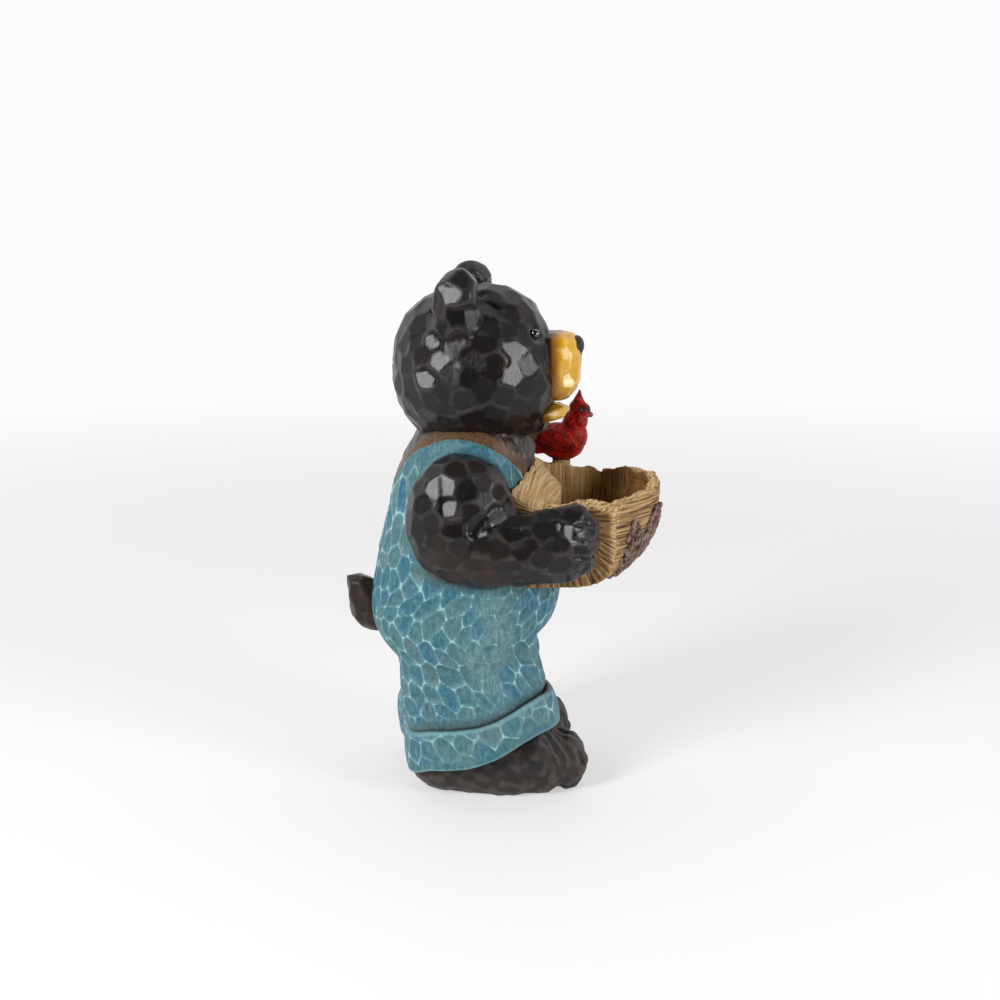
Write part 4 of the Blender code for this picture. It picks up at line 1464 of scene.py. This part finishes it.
def log_top(x, y, back, front):
    across = min(max(x / LOG_HALF / 2 + 0.5, 0), 1)
    forward = min(max((back - y) / (back - front), 0), 1)
    ripple = 1.0 * (math.sin(9 * forward + 31 * across) + math.sin(47 * across + 17 * forward))
    tear = noise.fractal(Vector((x / 6, y / 6, 0.3)), 0.8, 2.2, 3) * 1.6
    behind = 1 - float(smooth_step((back - y - TORN_WIDTH - 14) / 20))
    split = TORN_SLOPE * min(back - y, TORN_WIDTH) * torn_share(x) * behind
    even = 1 - 0.85 * torn_share(x) * behind * float(smooth_step((back - y - 1) / 5))
    notch = 5 * float(bump(y + 103, 2.5) * smooth_step((x - 50) / 8))
    lip = RIM_LIP * max((-x - LOG_HALF) / LOG_WALL + 1, 0) ** 1.5
    height = LOG_HEIGHT * float(rim_height(across, forward))
    return LOG_BOTTOM + height + (ripple + tear) * even - split - notch - lip


def straightened(points):
    """Points of the log as if its bulging back and front ran straight along X."""
    x, y, z = points.T
    belly = 1 - (x / LOG_HALF) ** 2
    share = smooth_step((LOG_BACK_AT - y) / LOG_END_DEPTH)
    shift = (LOG_BACK_CURVE * (1 - share) + LOG_FRONT_BULGE * share) * belly
    return np.column_stack([x, y + shift, z])


def stub_place():
    """Centre of the stub of branch on the left rim, and the height of its top."""
    y = LOG_BACK_AT - LOG_END_DEPTH * STUB_FORWARD
    top = LOG_BOTTOM + LOG_HEIGHT * float(rim_height(1, STUB_FORWARD)) + STUB_HEIGHT
    return LOG_HALF - LOG_WALL / 2, y, top


def log_skin():
    clay = Clay()
    clay.loft("log", [log_slice(x, 0, log_top, 9) for x in np.linspace(-LOG_HALF, LOG_HALF, 61)])
    body = mesh_object("log_blank", clay.lumps[0][1])
    clay = Clay()
    half = LOG_HALF - LOG_WALL
    above = LOG_BOTTOM + LOG_HEIGHT * 1.9
    rings = []
    for place in np.sin(np.linspace(-math.pi / 2, math.pi / 2, 41)) * 0.99:
        fill = (1 - abs(place) ** 5) ** 0.2
        ring = np.array(log_slice(place * half, 1, lambda *_: above, 6))
        middle = (ring[:, 1].max() + ring[:, 1].min()) / 2
        ring[:, 1] = middle + (ring[:, 1] - middle) * fill
        split = (TORN_WIDTH - LOG_BACK_WALL) * torn_share(place * half)
        ring[:, 1] = np.minimum(ring[:, 1], ring[:, 1].max() - split)
        ring[:, 2] = above - (above - ring[:, 2]) * (0.85 + 0.15 * fill)
        rings.append(ring)
    clay.loft("hollow", rings)
    hollow = mesh_object("log_hollow", clay.lumps[0][1])
    cut = body.modifiers.new("Hollow", "BOOLEAN")
    cut.operation = "DIFFERENCE"
    cut.object = hollow
    cut.solver = "EXACT"
    settle(body)
    bpy.data.objects.remove(hollow, do_unlink=True)
    stub = bmesh.new()
    x, y, top = stub_place()
    low = top - STUB_HEIGHT * 2.6
    bmesh.ops.create_cone(
        stub,
        cap_ends=True,
        segments=40,
        radius1=STUB_RADIUS * 1.05,
        radius2=STUB_RADIUS * 0.92,
        depth=top - low,
        matrix=Matrix.LocRotScale(
            Vector((x, y, (top + low) / 2)), None, Vector((0.45 * LOG_WALL / STUB_RADIUS, 1, 1))
        ),
    )
    clay = Clay()
    whole = bmesh.new()
    whole.from_mesh(body.data)
    bpy.data.objects.remove(body, do_unlink=True)
    clay.lumps = [("log", whole), ("stub", stub)]
    return Skin("log_bowl_wood", clay, WOOD_CELL, 1)


def end_cracks(angle, radius):
    """Distance from the dark cracks that run in from the lower edge of the log's ends."""
    crack = np.full(len(angle), 9.0)
    draw = random.Random(CRACK_SEED)
    for step in range(34):
        turn = -math.pi + 0.12 + step * 0.092 + draw.uniform(-0.025, 0.025)
        bend = draw.uniform(-0.0025, 0.0025)
        start = draw.uniform(44, 56)
        off = (angle - turn - bend * (radius - 40) + math.pi) % (2 * math.pi) - math.pi
        wide = np.abs(off) * radius + 3.6 * smooth_step((start - radius) / 8)
        crack = np.minimum(crack, np.where(np.abs(off) < 1, wide, 9))
    return crack


def build_log():
    log = log_skin()
    points, normals = log.points, log.normals
    x, y, z = points.T
    belly = 1 - (x / LOG_HALF) ** 2
    back = LOG_BACK_AT - LOG_BACK_CURVE * belly
    front = LOG_BACK_AT - LOG_END_DEPTH - LOG_FRONT_BULGE * belly
    sideways = np.abs(normals[:, 0])
    on_end = smooth_step((np.abs(x) - LOG_HALF + 3) / 2) * smooth_step((sideways - 0.45) / 0.3)
    rim = smooth_step((normals[:, 2] - 0.25) / 0.4) * smooth_step((z - 262) / 14)
    torn = rim * smooth_step((y - back + 36) / 8)
    inside = (
        (np.abs(x) < LOG_HALF - LOG_WALL + 3)
        & (y < back - 8) & (y > front + LOG_WALL - 4.5)
        & (z > LOG_BOTTOM + LOG_FLOOR - 3)
    ) * (1 - rim)
    inner_end = inside * smooth_step((sideways - 0.45) / 0.25)
    lie = grain_places(points, on_end, torn, inner_end)
    crest = np.clip(0.5 + 0.8 * streaks(lie, (1, 0, 0), 42, 2.0), 0, 1)
    dy, dz = y - END_CENTRE[0], z - END_CENTRE[1]
    crack = end_cracks(np.arctan2(dz, dy), np.hypot(dy, dz)) + (1 - on_end) * 9
    corner = bump(LOG_HALF - np.abs(x), 3) * bump(y - front, 3.5)
    depth = 1.2 - 0.4 * on_end - 0.5 * inside + 1.0 * rim - 0.7 * torn
    log.push((crest - 0.8) * depth - 1.0 * bump(crack, 0.9))
    skin_share = (1 - on_end) * (1 - inside)
    # Inside the bowl: painted light towards the back wall, carried in pale, and painted shade towards the
    # front and the bottom
    painted_light = inside * (1 - smooth_step((-y - 60) / 60))
    pale = 0.35 * skin_share + 0.5 * rim + 0.4 * torn + 0.9 * corner + 1.3 * painted_light
    shadow = inside * smooth_step((-y - 80) / 60)
    painted_deep_shade = inside * smooth_step((248 - z) / 30)
    log.mark_place("lie", lie)
    log.mark(
        crest=np.clip(crest + 0.2 * rim + 0.4 * corner, 0, 1),
        crack=crack,
        pale=np.clip(pale, 0, 1),
        dark=0.2 * shadow + 0.1 * painted_deep_shade,
        calm=0.65 * inside + 0.45 * torn,
    )
    log.mark_wear(5)
    finish_piece(log, wood_paint(), "painted_log", "log_bowl")


def front_at(x, z):
    """A point of the log's front skin at height z, and the way that the skin faces there."""
    _, front, bottom, round_y, round_z = log_profile(x, 0)
    drop = min(max((bottom + round_z - z) / round_z, 0), 0.999)
    y = front + round_y * (1 - (1 - drop ** 2.4) ** (1 / 2.4))
    slope = Vector((0, -1, -1.4 * drop ** 3)).normalized()
    return Vector((x, y, z)), slope


def build_bark():
    """A remnant of bark on the front: two lobes with a notch between, joined below."""
    upper = (0.50, 0.77, 0.58, 0.55, 0.80, 0.86, 0.80, 0.83, 0.70, 0.74, 0.60, 0.52, 0.40)
    lower = (0.30, 0.12, 0.06, 0.04, 0.05, 0.10, 0.12, 0.16, 0.20, 0.24, 0.28, 0.30, 0.34)
    draw = random.Random(BARK_SEED)
    clay = Clay()
    rings = []
    for share in np.linspace(0.01, 0.99, 60):
        x = 2 * LOG_HALF * (-0.44 + 0.60 * share)
        low = LOG_BOTTOM + LOG_HEIGHT * float(between(lower, share)) + draw.uniform(-1.4, 1.4)
        high = LOG_BOTTOM + LOG_HEIGHT * float(between(upper, share)) + draw.uniform(-1.8, 1.8)
        skin = [front_at(x, z) for z in np.linspace(low, high, 18)]
        ring = [point + slope * 3.0 for point, slope in skin]
        ring += [point - slope * 3 for point, slope in skin[::-1]]
        rings.append(ring)
    clay.loft("bark", rings)
    bark = Skin("bark_remnant", clay, BARK_CELL, 1)
    straight = straightened(bark.points)
    plates = streaks(straight, (0.35, 0, 1), 9, 4.0, 4)
    fine = streaks(straight, (0, 0, 1), 3, 1.6)
    bark.push(1.9 * np.abs(plates) ** 0.6 * np.sign(plates) + 0.5 * fine)
    bark.mark(plates=plates)
    bark.mark_wear(6)
    finish_piece(bark, bark_paint(), "painted_log", "log_bowl")


def build_bird():
    clay = Clay()
    clay.ball("body", (0, 2, 18.6), (16, 25, 18.6), (0.24, 0, 0))
    clay.ball("body", (0, -10.5, 24), (14, 15, 18))
    clay.ball("body", (0, 14, 20), (12, 14, 13))
    clay.ball("head", (0, -16.5, 40), (11, 9.2, 13))
    clay.ball("head", (0, -10.5, 36), (10.5, 10.5, 14))
    clay.ball("head", (0, -18.3, 49.5), (10, 10, 9.2))
    clay.tower("head", [
        (48, -7.5, -27.5, 9),
        (54, -6.5, -25.5, 8),
        (60, -10.2, -21.5, 5.2),
        (65, -13.5, -19.5, 3),
        (69, -15.8, -18.4, 1.5),
        (71, -16.6, -17.9, 0.7),
    ], 24, 2)
    clay.limb("tail", [(0, 14, 18, 10.5, 11), (0, 26, 14.5, 9, 9), (0, 38, 12, 7.5, 6)], 16, 24)
    for side in SIDES:
        clay.ball("wing", (side * 11, 6, 21), (5.5, 21, 12), (0.26, 0, side * 0.14))
        for y in (-4, 1, 6):
            clay.ball("foot", (side * 5, y, 1.4), (1.6, 4.5, 1.6))
    bird = Skin("cardinal_body", clay, BIRD_CELL)
    region = bird.regions()
    feathers = streaks(bird.points, (0, 0.85, -0.5), 8, 1.7, 4)
    crest = np.clip(0.5 + 0.9 * feathers, 0, 1)
    wing = bird.blurred(np.isin(region, ("wing", "tail")).astype(float), 6)
    bird.push((0.4 + 0.5 * wing) * (crest - 0.6))
    _, y, z = bird.points.T
    face = bump(np.linalg.norm((bird.points - (0, -20.5, 52)) / (30, 6.0, 3.2), axis=1), 1.0)
    brow = smooth_step((-bird.normals[:, 1] - 0.62) / 0.25) * smooth_step((z - 45) / 3)
    mask = np.clip(face * 1.3 + brow, 0, 0.95) + 0.85 * (region == "foot")
    low_rear = smooth_step((24 - z) / 14 + y / 40)
    dark_wing = 0.8 * wing * (0.35 + 0.65 * low_rear) * (0.7 + 0.3 * ripples(bird.points, 14, 4))
    bird.mark(mask=mask, wing=dark_wing, crest=crest)
    clay = Clay()
    clay.limb("beak", [(0, -23, 47.0, 5.4, 6.0), (0, -28.4, 45.2, 2.6, 2.7)], 8, 20)
    beak = Skin("cardinal_beak", clay, BEAK_CELL, 2)
    clay = Clay()
    for side in SIDES:
        clay.ball("eye", (side * 9.0, -17.8, 51.6), (1.6, 1.6, 1.6))
    eyes = Skin("cardinal_eyes", clay, BIRD_EYE_CELL, 2)
    x, y, top = stub_place()
    for piece in (bird, beak, eyes):
        piece.item.data.transform(Matrix.Translation((x, y - 0.5, top - 2.2)))
    coral = plain_paint("beak_red", (0.26, 0.012, 0.010), (0.36, 0.030, 0.018), 0.35, 3)
    finish_piece(bird, bird_paint(), "painted_bird", "cardinal")
    finish_piece(beak, coral, "painted_bird", "cardinal")
    finish_piece(eyes, bpy.data.materials["gloss_black"], "painted_bird", "cardinal")


def area_light(name, place, size, power):
    data = bpy.data.lights.new(name, "AREA")
    data.shape = "RECTANGLE"
    data.size, data.size_y = size
    data.energy = power
    lamp = bpy.data.objects.new(name, data)
    lamp.location = place
    lamp.rotation_euler = (Vector(WINDOWS_AIM) - Vector(place)).to_track_quat("-Z", "Y").to_euler()
    bpy.context.collection.objects.link(lamp)


def build_studio():
    """A pale floor that fades into a white surround, two soft windows and a dark room behind."""
    shape = bmesh.new()
    bmesh.ops.create_circle(shape, cap_ends=True, segments=96, radius=FLOOR_FADE[1] * 1.05)
    floor = mesh_object("floor", shape)
    glow = (0.97, 0.965, 0.965, 1)
    paint = Paint("pale_floor", Roughness=0.7, Emission_Color=glow, Emission_Strength=FLOOR_GLOW)
    paint.feed("Base Color", paint.mix(paint.cloud(900, 2), (0.46, 0.45, 0.45), (0.48, 0.47, 0.47)))
    away = paint.vector("LENGTH", paint.spot, output=1)
    paint.feed("Alpha", 1 - paint.step(away * MM, *FLOOR_FADE))
    floor.data.materials.append(paint.material)
    world = bpy.data.worlds.new("studio")
    world.use_nodes = True
    bpy.context.scene.world = world
    graph = Graph(world.node_tree)
    surround = graph.tree.nodes["Background"]
    surround.inputs["Color"].default_value = (*SURROUND, 1)
    way = graph.node("ShaderNodeTexCoord", {}, {}, "Generated")
    fade = graph.node("ShaderNodeMapRange", {"interpolation_type": "SMOOTHSTEP"}, {
        "Value": graph.node("ShaderNodeSeparateXYZ", {}, {0: way}, "X"),
        "From Min": -0.35,
        "From Max": 0.45,
        "To Min": ROOM_LIGHT,
        "To Max": 0.95,
    })
    room = graph.node("ShaderNodeBackground", {}, {"Color": (*SURROUND, 1), "Strength": fade})
    seen = graph.node("ShaderNodeLightPath", {}, {}, "Is Camera Ray")
    backdrop = Wire(graph, surround.outputs[0])
    both = graph.node("ShaderNodeMixShader", {}, {"Fac": seen, 1: room, 2: backdrop})
    graph.tree.links.new(both.socket, graph.tree.nodes["World Output"].inputs["Surface"])
    for window in WINDOWS:
        area_light(*window)
    bpy.context.scene.view_settings.view_transform = "Standard"


def build_camera():
    data = bpy.data.cameras.new("camera")
    data.lens = CAMERA_LENS
    data.sensor_width = SENSOR_WIDTH
    data.clip_end = VIEW_REACH
    camera = bpy.data.objects.new("camera", data)
    camera.location = GRID_TO_FRAME @ Vector(CAMERA_PLACE)
    camera.rotation_euler = Vector(CAMERA_WAY).to_track_quat("-Z", "Y").to_euler()
    bpy.context.collection.objects.link(camera)
    bpy.context.scene.camera = camera


build_bear()
build_log()
build_bark()
build_bird()
build_studio()
build_camera()
